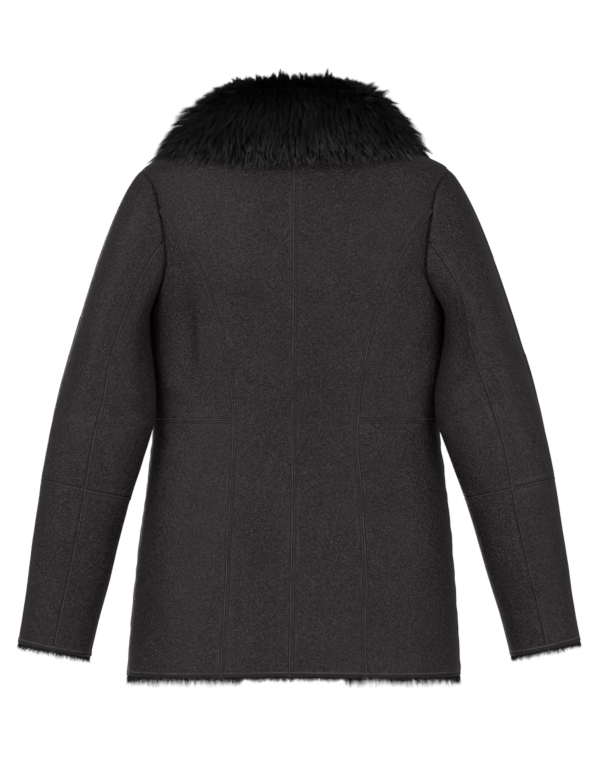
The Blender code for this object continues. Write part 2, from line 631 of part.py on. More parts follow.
def collar(finish):
    """The sections carried round the neck from one front end to the other."""
    turns = np.linspace(-COLLAR_END, COLLAR_END, COLLAR_STATIONS)
    rings = []
    for turn in turns:
        section = collar_section(turn)
        x = read(BODY, "middle_x", section[:, 1]) + section[:, 0] * math.sin(turn)
        y = read(BODY, "middle_y", section[:, 1]) - section[:, 0] * math.cos(turn)
        rings.append(np.stack([x, y, section[:, 1]], axis=-1))
    rings = np.array(rings)
    count = rings.shape[1]
    number = np.arange(rings.shape[0] * count).reshape(rings.shape[0], count)
    after = np.roll(number, -1, 1)
    quads = np.stack([number[:-1], after[:-1], after[1:], number[1:]], axis=-1).reshape(-1, 4)
    faces = quads.tolist() + [number[0, ::-1].tolist(), number[-1].tolist()]
    add_object("collar", rings.reshape(-1, 3), faces, finish)


# ---------------------------------------------------------------- buttons

BUTTON_PROFILE = (       # radius and height, as shares of the button's own
    (0.92, 0.0), (1.0, 0.35), (0.95, 0.85), (0.82, 1.0), (0.66, 0.72),
)
BUTTON_SIDES = 20


def button(number, height, finish):
    """Turned disc with a raised rim, seated square on the lapped front."""
    spot = turn_at(1, np.array(0.0), height, front=True)
    normal = body_normal(spot, height, True)
    seat = body_point(spot, height, True) + BUTTON_SEAT * normal
    across = unit(np.cross([0.0, 0.0, 1.0], normal))
    upward = np.cross(normal, across)
    angle = np.linspace(0, 2 * math.pi, BUTTON_SIDES, endpoint=False)[None, :, None]
    radius = np.array([row[0] for row in BUTTON_PROFILE])[:, None, None] * BUTTON_RADIUS
    level = np.array([row[1] for row in BUTTON_PROFILE])[:, None, None] * BUTTON_THICKNESS
    rings = seat + radius * (np.cos(angle) * across + np.sin(angle) * upward) + level * normal
    number_of = np.arange(rings.shape[0] * BUTTON_SIDES).reshape(rings.shape[0], BUTTON_SIDES)
    after = np.roll(number_of, -1, 1)
    quads = np.stack([number_of[:-1], after[:-1], after[1:], number_of[1:]], axis=-1).reshape(-1, 4)
    faces = quads.tolist() + [number_of[0, ::-1].tolist(), number_of[-1].tolist()]
    add_object(f"button_{number}", rings.reshape(-1, 3), faces, finish)


def main():
    for old in list(bpy.data.objects):
        bpy.data.objects.remove(old)
    leather = material("leather", (0.040, 0.034, 0.036), 0.62)
    fur = material("fur", (0.006, 0.006, 0.006), 0.90)
    horn = material("horn", (0.020, 0.016, 0.014), 0.35)
    for side, label in ((-1, "left"), (1, "right")):
        back_centre(side, label, leather)
        back_side(side, label, leather)
        front(side, label, leather)
        sleeve(side, label, leather)
    collar(fur)
    for number, height in enumerate(BUTTON_HEIGHTS, start=1):
        button(number, height, horn)


main()
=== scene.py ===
"""Finished look of the shearling jacket: leather outside, dark wool inside, black fur collar.

Metres, +Z up, the back faces -Y. The body is a closed curve at each height, a point of it given by a
turn (0 in the middle of the back, a quarter turn at the wearer's right side, pi in the middle of the
front) and a height. A sleeve's point is given by a turn round the arm (0 outside, a quarter turn at
the back, pi on the inside) and a ring number (0 on the armhole, 9 at the cuff).
"""
import math
from functools import partial

import bpy
import numpy as np
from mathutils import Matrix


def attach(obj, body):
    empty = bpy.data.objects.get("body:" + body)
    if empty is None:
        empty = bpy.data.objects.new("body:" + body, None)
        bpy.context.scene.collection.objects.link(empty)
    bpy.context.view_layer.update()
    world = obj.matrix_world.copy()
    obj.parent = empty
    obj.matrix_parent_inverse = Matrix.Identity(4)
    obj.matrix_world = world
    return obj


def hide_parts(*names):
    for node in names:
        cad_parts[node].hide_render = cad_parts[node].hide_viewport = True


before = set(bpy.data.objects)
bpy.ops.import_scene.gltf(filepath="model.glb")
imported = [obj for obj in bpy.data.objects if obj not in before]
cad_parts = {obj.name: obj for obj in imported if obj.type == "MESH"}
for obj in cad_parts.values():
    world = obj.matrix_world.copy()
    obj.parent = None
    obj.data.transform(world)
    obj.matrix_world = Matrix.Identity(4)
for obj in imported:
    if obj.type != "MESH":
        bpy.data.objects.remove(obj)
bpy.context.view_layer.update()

# ------------------------------------------------------------------ sizes, as in the part's source

WALL = 0.005               # skin with its clipped wool
SEAM_GAP = 0.0004          # between two pieces that are sewn together
HEM_BACK = -0.7165         # lowest point of the wool at the hem, middle of the back
HEM_SIDE_DROP = 0.0045
WAIST = -0.377
NAPE = -0.014
THROAT = -0.080
SHOULDER_TIP = -0.052
SHOULDER_WIDTH = 0.200
UNDERARM = -0.240
LAP_EDGE = 0.026           # each front reaches this far past the middle
LAP_START = 0.046
LAP_RISE = WALL + 0.0012
PRINCESS_TOP = -0.101
SLEEVE_SWING = 0.016
LAST_RING = 9
CROSS_SEAM_RING = 5
CAP_START_PULL = 0.55
CAP_END_PULL = 0.95
COLLAR_SEAT = 0.0009
FALL_CLEARANCE = 0.0028
COLLAR_RIGHT_SHORTER = 0.10
COLLAR_RIGHT_THINNER = 0.003
COLLAR_END = math.radians(168)
BUTTON_RADIUS = 0.012
BUTTON_THICKNESS = 0.0042
BUTTON_SEAT = 0.0006
BUTTON_HEIGHTS = (-0.195, -0.300, -0.405, -0.510)

QUARTER = math.pi / 2
FULL = 2 * math.pi
PRINCESS_AROUND = math.acos((2 * PRINCESS_TOP - SHOULDER_TIP - UNDERARM) / (SHOULDER_TIP - UNDERARM))
FRONT_SEAM_TURN = math.radians(230)

# ------------------------------------------------------------------ sizes of the finish

FINE = 5                   # each step of the solid's grids is cut into this many
HEM_ABOVE_SOLID = 0.0125   # the leather ends here, and its wool edge fills most of what is left
CUFF_FRINGE = 0.07         # the same at the cuffs, in rings
EDGE_ROUND = 0.0011        # how far a panel's edge sinks into its seam
EDGE_ROUND_WIDTH = 0.0018
ARMHOLE_HOLLOW = 0.0010    # the sleeve is sewn in without stitches outside, in a soft hollow
ARMHOLE_WIDTH = 0.0055
STITCH_PITCH = 0.0034
STITCH_LENGTH = 0.0026
THREAD_RADIUS = 0.00026
LAP_HALF = 0.0032          # from the middle of a lapped seam to its row of stitches
HEM_STITCH = 0.0050        # from the leather's edge to the row of stitches
PLAIN_STITCH = 0.0034      # from the middle of a plain seam to its row of stitches
BAND_STEP = 0.0035         # between the points of a seam's band, along the seam
SLACK_LARGE = 0.0008       # height of the long soft waves in slack skin, and of the short ones
SLACK_SMALL = 0.0003
PUCKER_HEIGHT = 0.00045    # height and length of the fine waves beside a seam, and how far they reach
PUCKER_LENGTH = 0.016
PUCKER_REACH = 0.012
NAP_HEIGHT = 0.0004        # unevenness of the wool inside, and its length
NAP_LENGTH = 0.010
RUBBED_HIGHLIGHT_AT = 0.0045         # a panel's edge is rubbed, with a painted highlight, at this distance from its seam, and this wide
RUBBED_HIGHLIGHT_WIDTH = 0.003
RUBBED_HIGHLIGHT_SHARE = 0.22
GROOVE_SHADE_WIDTH = 0.0011      # painted shade in the dark line along a panel's edge, where it sinks into its seam
GROOVE_SHADE_SHARE = 0.75
HEM_HAIRS = 17000          # hairs in each half of the hem's wool edge, and in each cuff's
CUFF_HAIRS = 8500
CUFF_HAIR_LENGTH = 0.0100
FUR_DEPTH = 0.0125         # from the fur's outline in to the skin it grows from
STAND_FUR_DEPTH = 0.0022   # the same inside the stand, which is clipped


def table(columns, *rows):
    """Named columns of a short table, in the order of the first column."""
    names = columns.split()
    values = dict(zip(names, np.array(sorted(rows), dtype=float).T))
    values["key"] = values[names[0]]
    return values


def read(rows, column, where):
    """Smooth curve through a table's rows: cubic pieces with the rows' own slopes."""
    key, value = rows["key"], rows[column]
    slope = np.gradient(value, key)
    row = np.clip(np.searchsorted(key, where) - 1, 0, len(key) - 2)
    span = key[row + 1] - key[row]
    t = np.clip((where - key[row]) / span, 0.0, 1.0)
    return ((1 + 2 * t) * (1 - t) ** 2 * value[row] + t * (1 - t) ** 2 * span * slope[row]
            + t * t * (3 - 2 * t) * value[row + 1] + t * t * (t - 1) * span * slope[row + 1])


BODY = table(
    "height half_width right_more back front squareness middle_x middle_y",
    (0.006, 0.060, 0.0, 0.064, 0.056, 2.00, 0.0, 0.000),
    (0.000, 0.075, 0.0, 0.070, 0.060, 2.00, 0.0, 0.000),
    (-0.009, 0.100, 0.0, 0.076, 0.065, 2.00, 0.0, 0.000),
    (-0.018, 0.125, 0.0, 0.081, 0.069, 2.00, 0.0, 0.000),
    (-0.027, 0.150, 0.0, 0.085, 0.072, 2.00, 0.0, 0.000),
    (-0.036, 0.173, 0.0, 0.0885, 0.075, 2.05, 0.0, 0.000),
    (-0.044, 0.189, 0.0, 0.091, 0.0775, 2.10, 0.0, 0.001),
    (SHOULDER_TIP, SHOULDER_WIDTH, 0.0, 0.0935, 0.080, 2.10, 0.0, 0.001),
    (-0.065, 0.2055, 0.0, 0.097, 0.084, 2.15, 0.0, 0.002),
    (-0.080, 0.2070, 0.0, 0.1005, 0.088, 2.15, 0.0, 0.002),
    (-0.100, 0.2065, 0.0, 0.1045, 0.094, 2.20, 0.0, 0.003),
    (-0.150, 0.2015, 0.001, 0.1095, 0.107, 2.20, 0.0, 0.005),
    (-0.200, 0.1945, 0.003, 0.1080, 0.117, 2.25, 0.0003, 0.007),
    (UNDERARM, 0.1900, 0.0045, 0.1030, 0.121, 2.25, 0.0005, 0.009),
    (-0.310, 0.1895, 0.0050, 0.0930, 0.114, 2.20, 0.0005, 0.010),
    (-0.351, 0.1880, 0.0025, 0.0875, 0.107, 2.15, 0.0005, 0.010),
    (WAIST, 0.1863, 0.0010, 0.0860, 0.104, 2.15, 0.0007, 0.010),
    (-0.440, 0.1915, 0.0, 0.0930, 0.107, 2.15, 0.0010, 0.009),
    (-0.512, 0.2005, 0.0, 0.1070, 0.117, 2.20, 0.0007, 0.008),
    (-0.600, 0.2093, 0.0, 0.1180, 0.126, 2.20, -0.0008, 0.006),
    (-0.725, 0.2180, 0.0, 0.1260, 0.133, 2.20, -0.0025, 0.004),
)

ARMHOLE = table(
    "height from_middle",
    (SHOULDER_TIP, SHOULDER_WIDTH), (-0.068, 0.187), (-0.095, 0.178), (-0.123, 0.173), (-0.148, 0.170),
    (-0.172, 0.169), (-0.200, 0.1740), (-0.222, 0.1820), (UNDERARM, 0.1900),
)

PRINCESS = table(
    "height from_middle",
    (PRINCESS_TOP, 0.1765), (-0.118, 0.1645), (-0.152, 0.1395), (-0.185, 0.1235), (-0.234, 0.1055),
    (-0.312, 0.0855), (WAIST, 0.079), (-0.475, 0.0835), (-0.579, 0.0895), (-0.720, 0.0955),
)

CENTRE_SEAM = table("height off_middle", (0.0, 0.0), (-0.046, 0.0), (WAIST, -0.003), (-0.720, -0.0035))

SLEEVE = table(
    "ring outer_x outer_z inner_x inner_z right_in middle_y half_depth",
    (1, 0.2853, -0.262, 0.1915, -0.283, -0.0015, -0.017, 0.068),
    (2, 0.3004, -0.315, 0.1855, -0.340, 0.0035, -0.026, 0.064),
    (3, 0.3120, -0.362, 0.1870, -0.389, 0.0035, -0.029, 0.060),
    (4, 0.3209, -0.407, 0.1985, -0.434, 0.0020, -0.027, 0.0580),
    (5, 0.3293, -0.452, 0.2130, -0.477, 0.0010, -0.021, 0.056),
    (6, 0.3372, -0.505, 0.2272, -0.529, 0.0, -0.014, 0.053),
    (7, 0.3452, -0.560, 0.2405, -0.583, -0.0015, -0.006, 0.050),
    (8, 0.3521, -0.612, 0.2548, -0.634, -0.0025, 0.002, 0.048),
    (LAST_RING, 0.3620, -0.669, 0.2680, -0.690, -0.0030, 0.009, 0.046),
)

COLLAR = table(
    "degrees top edge tip",
    (0, 0.068, -0.046, 0.024), (30, 0.068, -0.046, 0.022), (60, 0.066, -0.042, 0.012),
    (90, 0.062, -0.038, 0.004), (120, 0.040, -0.078, 0.014), (150, -0.006, -0.135, 0.020),
    (160, -0.024, -0.145, 0.020), (168, -0.036, -0.128, 0.016),
)

# Soft folds: the line that each one follows, how far it spreads and how high it stands (- is a hollow).
BODY_FOLD_COLUMNS = ("front", "x_top", "z_top", "x_low", "z_low", "spread", "rise")
BODY_FOLDS = (
    (0, -0.097, -0.136, -0.052, -0.286, 0.026, -0.0035),
    (0, 0.098, -0.169, 0.066, -0.280, 0.026, -0.0035),
    (0, -0.148, -0.182, -0.140, -0.305, 0.022, -0.0045),
    (0, 0.157, -0.195, 0.118, -0.345, 0.024, -0.0045),
    (0, 0.094, -0.410, 0.137, -0.540, 0.026, -0.0050),
    (0, 0.088, -0.620, 0.094, -0.720, 0.020, -0.0055),
    (0, 0.112, -0.600, 0.120, -0.720, 0.020, 0.0045),
    (0, -0.142, -0.470, -0.148, -0.560, 0.024, -0.0035),
    (0, -0.088, -0.570, -0.090, -0.720, 0.020, -0.0055),
    (0, -0.028, -0.480, -0.020, -0.720, 0.022, -0.0035),
    (0, -0.060, -0.560, -0.056, -0.720, 0.022, 0.0035),
    (1, -0.120, -0.180, -0.090, -0.330, 0.026, -0.0045),
    (1, 0.126, -0.170, 0.084, -0.340, 0.026, -0.0045),
    (1, -0.110, -0.420, -0.135, -0.600, 0.026, -0.0045),
    (1, 0.105, -0.430, 0.128, -0.640, 0.026, -0.0045),
    (1, -0.080, -0.560, -0.088, -0.720, 0.022, 0.0040),
    (1, 0.075, -0.590, 0.082, -0.720, 0.022, 0.0040),
)

SLEEVE_FOLD_COLUMNS = ("side", "ring_top", "turn_top", "ring_low", "turn_low", "spread", "rise")
SLEEVE_FOLDS = (
    (-1, 0.6, 105, 3.0, 88, 0.022, -0.0050),
    (-1, 2.4, 150, 2.9, 105, 0.014, -0.0040),
    (-1, 4.2, 60, 5.6, 80, 0.018, -0.0030),
    (-1, 3.6, 285, 4.6, 240, 0.018, -0.0045),
    (-1, 5.4, 290, 6.0, 235, 0.018, -0.0035),
    (1, 0.5, 120, 1.6, 135, 0.020, -0.0055),
    (1, 0.9, 95, 2.2, 70, 0.022, 0.0030),
    (1, 1.6, 110, 3.2, 92, 0.022, -0.0050),
    (1, 3.0, 140, 2.6, 90, 0.014, -0.0040),
    (1, 3.9, 290, 4.8, 235, 0.018, -0.0045),
    (1, 5.6, 285, 6.2, 240, 0.018, -0.0035),
)
RING_LENGTH = 0.050        # between two rings of the sleeve, along the arm
ARM_RADIUS = 0.058

# Finer creases, added to the solid's own folds: the same columns.
BODY_CREASES = (
    (0, -0.118, -0.175, -0.100, -0.250, 0.012, -0.0016),
    (0, -0.030, -0.150, -0.060, -0.230, 0.020, -0.0014),
    (0, -0.142, -0.238, -0.141, -0.300, 0.010, -0.0028),
    (0, -0.166, -0.230, -0.164, -0.330, 0.010, 0.0018),
    (0, -0.126, -0.262, -0.122, -0.306, 0.009, 0.0018),
    (0, -0.060, -0.225, -0.062, -0.306, 0.016, -0.0026),
    (0, -0.022, -0.235, -0.024, -0.350, 0.014, 0.0018),
    (0, 0.084, -0.184, 0.050, -0.286, 0.016, -0.0028),
    (0, 0.020, -0.172, 0.018, -0.235, 0.014, 0.0016),
    (0, 0.100, -0.640, 0.101, -0.705, 0.009, -0.0026),
    (0, 0.115, -0.630, 0.116, -0.705, 0.010, 0.0022),
    (0, -0.112, -0.635, -0.113, -0.705, 0.014, -0.0026),
    (0, 0.040, -0.140, 0.075, -0.215, 0.020, -0.0014),
    (0, 0.020, -0.205, 0.034, -0.300, 0.018, 0.0012),
    (0, -0.165, -0.300, -0.120, -0.352, 0.010, -0.0020),
    (0, -0.168, -0.350, -0.105, -0.368, 0.008, -0.0016),
    (0, 0.172, -0.285, 0.128, -0.345, 0.010, -0.0020),
    (0, 0.176, -0.345, 0.110, -0.366, 0.008, -0.0016),
    (0, -0.150, -0.395, -0.110, -0.440, 0.014, -0.0016),
    (0, 0.160, -0.392, 0.120, -0.445, 0.014, -0.0018),
    (0, -0.060, -0.330, -0.030, -0.360, 0.012, -0.0012),
    (0, 0.062, -0.325, 0.030, -0.352, 0.012, -0.0012),
    (0, 0.040, -0.440, 0.052, -0.640, 0.018, -0.0016),
    (0, 0.150, -0.560, 0.158, -0.700, 0.018, 0.0018),
    (0, -0.118, -0.560, -0.122, -0.700, 0.016, 0.0016),
    (0, -0.178, -0.540, -0.186, -0.690, 0.016, -0.0018),
    (1, -0.150, -0.205, -0.100, -0.245, 0.012, -0.0020),
    (1, 0.150, -0.205, 0.100, -0.245, 0.012, -0.0020),
    (1, -0.165, -0.340, -0.090, -0.365, 0.010, -0.0018),
    (1, 0.165, -0.335, 0.095, -0.362, 0.010, -0.0018),
    (1, -0.160, -0.400, -0.110, -0.450, 0.014, -0.0016),
    (1, 0.158, -0.398, 0.112, -0.452, 0.014, -0.0016),
    (1, -0.050, -0.420, -0.046, -0.660, 0.018, -0.0014),
    (1, 0.140, -0.520, 0.150, -0.700, 0.018, 0.0018),
)
SLEEVE_CREASES = (
    (-1, 0.3, 184, 2.4, 180, 0.034, 0.0054),
    (1, 0.3, 184, 2.4, 180, 0.034, 0.0064),
    (-1, 0.9, 0, 2.2, 0, 0.050, -0.0016),
    (1, 0.5, 0, 2.2, 0, 0.050, -0.0036),
    (-1, 2.6, 170, 2.4, 118, 0.007, -0.0022),
    (-1, 3.1, 165, 2.8, 112, 0.007, -0.0024),
    (-1, 3.4, 168, 3.3, 128, 0.006, -0.0018),
    (-1, 1.2, 75, 2.4, 62, 0.014, 0.0018),
    (-1, 3.4, 80, 4.4, 72, 0.014, 0.0016),
    (-1, 6.2, 100, 7.2, 84, 0.012, -0.0016),
    (-1, 7.0, 60, 8.4, 66, 0.012, -0.0014),
    (-1, 3.8, 250, 3.3, 200, 0.009, -0.0022),
    (-1, 4.3, 265, 4.1, 205, 0.008, -0.0022),
    (-1, 1.0, 250, 1.8, 215, 0.012, -0.0020),
    (1, 2.4, 172, 2.2, 120, 0.007, -0.0024),
    (1, 2.8, 168, 2.5, 112, 0.007, -0.0022),
    (1, 3.3, 165, 3.1, 125, 0.006, -0.0018),
    (1, 2.2, 60, 3.4, 70, 0.014, 0.0018),
    (1, 4.0, 84, 4.9, 74, 0.014, -0.0018),
    (1, 6.0, 98, 7.0, 82, 0.012, -0.0016),
    (1, 7.2, 62, 8.5, 68, 0.012, -0.0014),
    (1, 3.7, 250, 3.2, 200, 0.009, -0.0022),
    (1, 4.2, 262, 4.0, 205, 0.008, -0.0022),
    (1, 1.1, 252, 1.9, 215, 0.012, -0.0020),
)


def smooth_step(low, high, value):
    """0 below low, 1 above high, and an S-shaped rise between."""
    t = np.clip((value - low) / (high - low), 0.0, 1.0)
    return t * t * (3 - 2 * t)


def unit(vectors):
    return vectors / np.maximum(np.linalg.norm(vectors, axis=-1, keepdims=True), 1e-12)


def fold_height(across, along, start, end, spread, rise):
    """A fold's rise at (across, along): a bell round the line from start to end, fading past its ends."""
    line = np.subtract(end, start)
    share = np.clip(((across - start[0]) * line[0] + (along - start[1]) * line[1]) / line.dot(line), 0, 1)
    gap = np.hypot(across - start[0] - share * line[0], along - start[1] - share * line[1])
    return rise * np.exp(-(gap / spread) ** 2)


def ripple(place, length, seed, waves=9):
    """Uneven soft waviness between about -1 and 1: a sum of sine waves of nearly one length that run
    in random directions over the last axis of place, each with a start of its own."""
    draw = np.random.default_rng(seed)
    ways = unit(draw.normal(size=(waves, place.shape[-1])))
    lengths = length * draw.uniform(0.7, 1.5, waves)
    starts = draw.uniform(0, FULL, waves)
    return np.sin(place @ (ways.T * FULL / lengths) + starts).sum(axis=-1) * math.sqrt(2 / waves) * 0.6


# ------------------------------------------------------------------ body surface

def body_folds(x, height, on_front):
    total = np.zeros(np.broadcast(x, height).shape)
    for row in BODY_FOLDS + BODY_CREASES:
        fold = dict(zip(BODY_FOLD_COLUMNS, row))
        start, end = (fold["x_top"], fold["z_top"]), (fold["x_low"], fold["z_low"])
        here = fold_height(x, height, start, end, fold["spread"], fold["rise"])
        total = total + here * np.where(on_front, fold["front"], 1 - fold["front"])
    return total


def body_unevenness(turn, height):
    """Slack of the skin between the seams: waves of two sizes, fewer near the shoulders and the sides."""
    place = np.stack([turn * 0.19, height], axis=-1)
    waves = SLACK_LARGE * ripple(place, 0.090, 11) + SLACK_SMALL * ripple(place, 0.034, 12)
    below_shoulders = 0.45 + 0.55 * smooth_step(-0.06, -0.20, height)
    off_outline = 0.35 + 0.65 * smooth_step(0.0, 0.4, np.abs(np.cos(turn)))
    return waves * below_shoulders * off_outline


def half_width(on_right, height):
    return read(BODY, "half_width", height) + np.where(on_right, read(BODY, "right_more", height), 0.0)


def body_point(turn, height, lapped=False, lift=0.0):
    """Point of the body's outer face: a rounded section of the table's width and depths."""
    turn, height = np.broadcast_arrays(np.asarray(turn, float), np.asarray(height, float))
    on_front = np.cos(turn) < 0
    depth = np.where(on_front, read(BODY, "front", height), read(BODY, "back", height))
    power = read(BODY, "squareness", height)
    radius = ((np.abs(np.sin(turn)) / half_width(np.sin(turn) > 0, height)) ** power
              + (np.abs(np.cos(turn)) / depth) ** power) ** (-1 / power)
    x = radius * np.sin(turn)
    fade = smooth_step(0.0, 0.25, np.abs(np.cos(turn)))
    radius = radius + lift + body_folds(x, height, on_front) * fade + body_unevenness(turn, height)
    if lapped:
        radius = radius + LAP_RISE * np.where(on_front, 1 - smooth_step(LAP_EDGE, LAP_START, x), 0.0)
    x = read(BODY, "middle_x", height) + radius * np.sin(turn)
    y = read(BODY, "middle_y", height) - radius * np.cos(turn)
    return np.stack([x, y, height], axis=-1)


def body_normal(turn, height, lapped=False):
    """Outward direction of the body's face, square to both of its parameters."""
    step = 0.0008
    around = body_point(turn + step, height, lapped) - body_point(turn - step, height, lapped)
    upward = body_point(turn, height + step, lapped) - body_point(turn, height - step, lapped)
    return unit(np.cross(around, upward))


def turn_at(side, x, height, front=False):
    """Turn at which the body's face is x from its middle line, x counted towards the given side."""
    share = np.clip(np.abs(x) / half_width(side * x > 0, height), 0.0, 1.0)
    power = read(BODY, "squareness", height)
    depth = read(BODY, "front" if front else "back", height) * (1 - share ** power) ** (1 / power)
    turn = np.arctan2(x, depth)
    return side * (math.pi - turn if front else turn)


# ------------------------------------------------------------------ seams, as (turn, height) points

def points(turn, height):
    return np.stack(np.broadcast_arrays(np.asarray(turn, float), np.asarray(height, float)), axis=-1)


def joined(*lines):
    """Lines end to end, each one's first point being the last of the one before."""
    return np.concatenate([lines[0]] + [line[1:] for line in lines[1:]])


def hem_height(turn):
    """The leather's own edge, a little above the wool's."""
    return HEM_BACK + HEM_ABOVE_SOLID - HEM_SIDE_DROP * np.sin(turn) ** 2


def neck_height(turn):
    return np.where(np.cos(turn) > 0, NAPE, THROAT) * np.cos(turn) ** 4


def armhole(side, around):
    """The armhole: around is 0 at the shoulder, a quarter turn at the back, pi under the arm."""
    middle, half = (SHOULDER_TIP + UNDERARM) / 2, (SHOULDER_TIP - UNDERARM) / 2
    height = middle + half * np.cos(around)
    more = half_width(side > 0, height) - half_width(False, height)
    x = read(ARMHOLE, "from_middle", height) + more * smooth_step(-0.180, UNDERARM, height)
    x = np.minimum(x, half_width(side > 0, height))
    back, front = turn_at(side, x, height), turn_at(side, x, height, front=True)
    return points(np.where(np.sin(around) >= 0, back, front), height)


def armhole_around(side, turn, height):
    """Inverse of armhole: the place round it of points that lie on it."""
    middle, half = (SHOULDER_TIP + UNDERARM) / 2, (SHOULDER_TIP - UNDERARM) / 2
    around = np.arccos(np.clip((height - middle) / half, -1.0, 1.0))
    return np.where(np.abs(turn) <= QUARTER, around, FULL - around)


def princess(side, heights):
    return points(turn_at(side, read(PRINCESS, "from_middle", heights), heights), heights)


def centre_seam(heights):
    return points(turn_at(1, read(CENTRE_SEAM, "off_middle", heights), heights), heights)


def many(count):
    """The number of points on a line that the solid cuts with count of them."""
    return (count - 1) * FINE + 1


FRONT_YOKE = 4 * FINE
TIP_AROUND = np.linspace(0.0, PRINCESS_AROUND, many(3))
BACK_AROUND = joined(np.linspace(PRINCESS_AROUND, QUARTER, many(3)), np.linspace(QUARTER, math.pi, many(5)))
FRONT_AROUND = joined(np.linspace(math.pi, FRONT_SEAM_TURN, many(3)),
                      np.linspace(FRONT_SEAM_TURN, FULL, many(6)))
SHOULDER_HEIGHTS = np.linspace(0.0, SHOULDER_TIP, many(5))
LOW_HEIGHTS = np.linspace(0.0, 1.0, many(12))
HIGH_HEIGHTS = np.linspace(0.0, 1.0, many(9))


def princess_foot(side):
    return hem_height(turn_at(side, read(PRINCESS, "from_middle", HEM_BACK), HEM_BACK))


def princess_low(side):
    foot = princess_foot(side)
    return princess(side, foot + LOW_HEIGHTS * (WAIST - foot))


def princess_high(side):
    line = princess(side, WAIST + HIGH_HEIGHTS * (PRINCESS_TOP - WAIST))
    line[-1] = armhole(side, PRINCESS_AROUND)
    return line


def side_low(side):
    foot = hem_height(QUARTER)
    return points(side * QUARTER, foot + LOW_HEIGHTS * (WAIST - foot))


def side_high(side):
    return points(side * QUARTER, WAIST + HIGH_HEIGHTS * (UNDERARM - WAIST))


def waist_line(side, count):
    start = princess(side, np.array([WAIST]))[0, 0]
    return points(np.linspace(start, side * QUARTER, count), WAIST)


def shoulder_line(side):
    return points(side * QUARTER, SHOULDER_HEIGHTS)


# ------------------------------------------------------------------ sleeve surface

def sleeve_tube(side, turn, ring):
    """The sleeve below its head: at each ring an ellipse in a plane square to the arm."""
    outer = np.stack([read(SLEEVE, "outer_x", ring), read(SLEEVE, "outer_z", ring)], axis=-1)
    nearer = read(SLEEVE, "right_in", ring) if side > 0 else 0.0
    inner = np.stack([read(SLEEVE, "inner_x", ring) - nearer, read(SLEEVE, "inner_z", ring)], axis=-1)
    centre, reach = (outer + inner) / 2, (outer - inner) / 2
    x = centre[..., 0] + reach[..., 0] * np.cos(turn)
    z = centre[..., 1] + reach[..., 1] * np.cos(turn)
    y = read(SLEEVE, "middle_y", ring) - read(SLEEVE, "half_depth", ring) * np.sin(turn)
    swing = SLEEVE_SWING if side > 0 else 0.0
    far, drop = x - SHOULDER_WIDTH, z - SHOULDER_TIP
    x = SHOULDER_WIDTH + far * math.cos(swing) - drop * math.sin(swing)
    z = SHOULDER_TIP + far * math.sin(swing) + drop * math.cos(swing)
    return np.stack(np.broadcast_arrays(side * x, y, z), axis=-1)


def sleeve_head(side, turn, share):
    """From the armhole (share 0) to ring 1 (share 1): a cubic curve for each turn round the arm."""
    start = body_point(*np.moveaxis(armhole(side, turn), -1, 0))
    end = sleeve_tube(side, turn, np.ones_like(turn))
    end_way = unit(sleeve_tube(side, turn, np.full_like(turn, 1.02)) - end)
    top = (1 + np.cos(turn)) / 2
    start_way = unit(np.stack([side * (0.20 + 0.55 * top + 0.50 * np.abs(np.sin(turn))),
                               -0.35 * np.sin(turn), -(1.0 - 0.34 * top)], axis=-1))
    reach = np.linalg.norm(end - start, axis=-1, keepdims=True)
    t = share[..., None]
    return ((1 + 2 * t) * (1 - t) ** 2 * start + t * (1 - t) ** 2 * reach * CAP_START_PULL * start_way
            + t * t * (3 - 2 * t) * end + t * t * (t - 1) * reach * CAP_END_PULL * end_way)


def sleeve_folds(side, turn, ring):
    """Folds and creases, and the same slack waviness as on the body."""
    around = np.mod(turn, FULL) * ARM_RADIUS
    total = np.zeros(np.broadcast(turn, ring).shape)
    for row in SLEEVE_FOLDS + SLEEVE_CREASES:
        fold = dict(zip(SLEEVE_FOLD_COLUMNS, row))
        if fold["side"] != side:
            continue
        start = (math.radians(fold["turn_top"]) * ARM_RADIUS, fold["ring_top"] * RING_LENGTH)
        end = (math.radians(fold["turn_low"]) * ARM_RADIUS, fold["ring_low"] * RING_LENGTH)
        total = total + fold_height(around, ring * RING_LENGTH, start, end, fold["spread"], fold["rise"])
    wave = np.stack([np.cos(turn) * ARM_RADIUS, np.sin(turn) * ARM_RADIUS, ring * RING_LENGTH], axis=-1)
    quiet = 0.3 + 0.7 * smooth_step(0.0, 0.5, np.abs(np.sin(turn)))
    waves = SLACK_LARGE * ripple(wave, 0.070, 21 + side) + SLACK_SMALL * ripple(wave, 0.028, 31 + side)
    total = total + waves * quiet
    return total * smooth_step(0.0, 0.5, ring)


def sleeve_point(side, turn, ring, lift=0.0):
    """Point of the sleeve's outer face, with its folds pushed in towards the arm's middle."""
    turn, ring = np.broadcast_arrays(np.asarray(turn, float), np.asarray(ring, float))
    head = sleeve_head(side, turn, np.clip(ring, 0.0, 1.0))
    tube = sleeve_tube(side, turn, np.maximum(ring, 1.0))
    point = np.where((ring < 1)[..., None], head, tube)
    outwards = np.stack([side * np.cos(turn), -np.sin(turn), np.zeros_like(turn)], axis=-1)
    return point + outwards * (sleeve_folds(side, turn, ring) + lift)[..., None]


def sleeve_normal(side, turn, ring):
    step = 0.004
    low, high = np.maximum(ring - step, 0.0), np.minimum(ring + step, LAST_RING)
    around = sleeve_point(side, turn + step, ring) - sleeve_point(side, turn - step, ring)
    downward = sleeve_point(side, turn, high) - sleeve_point(side, turn, low)
    return unit(side * np.cross(around, downward))


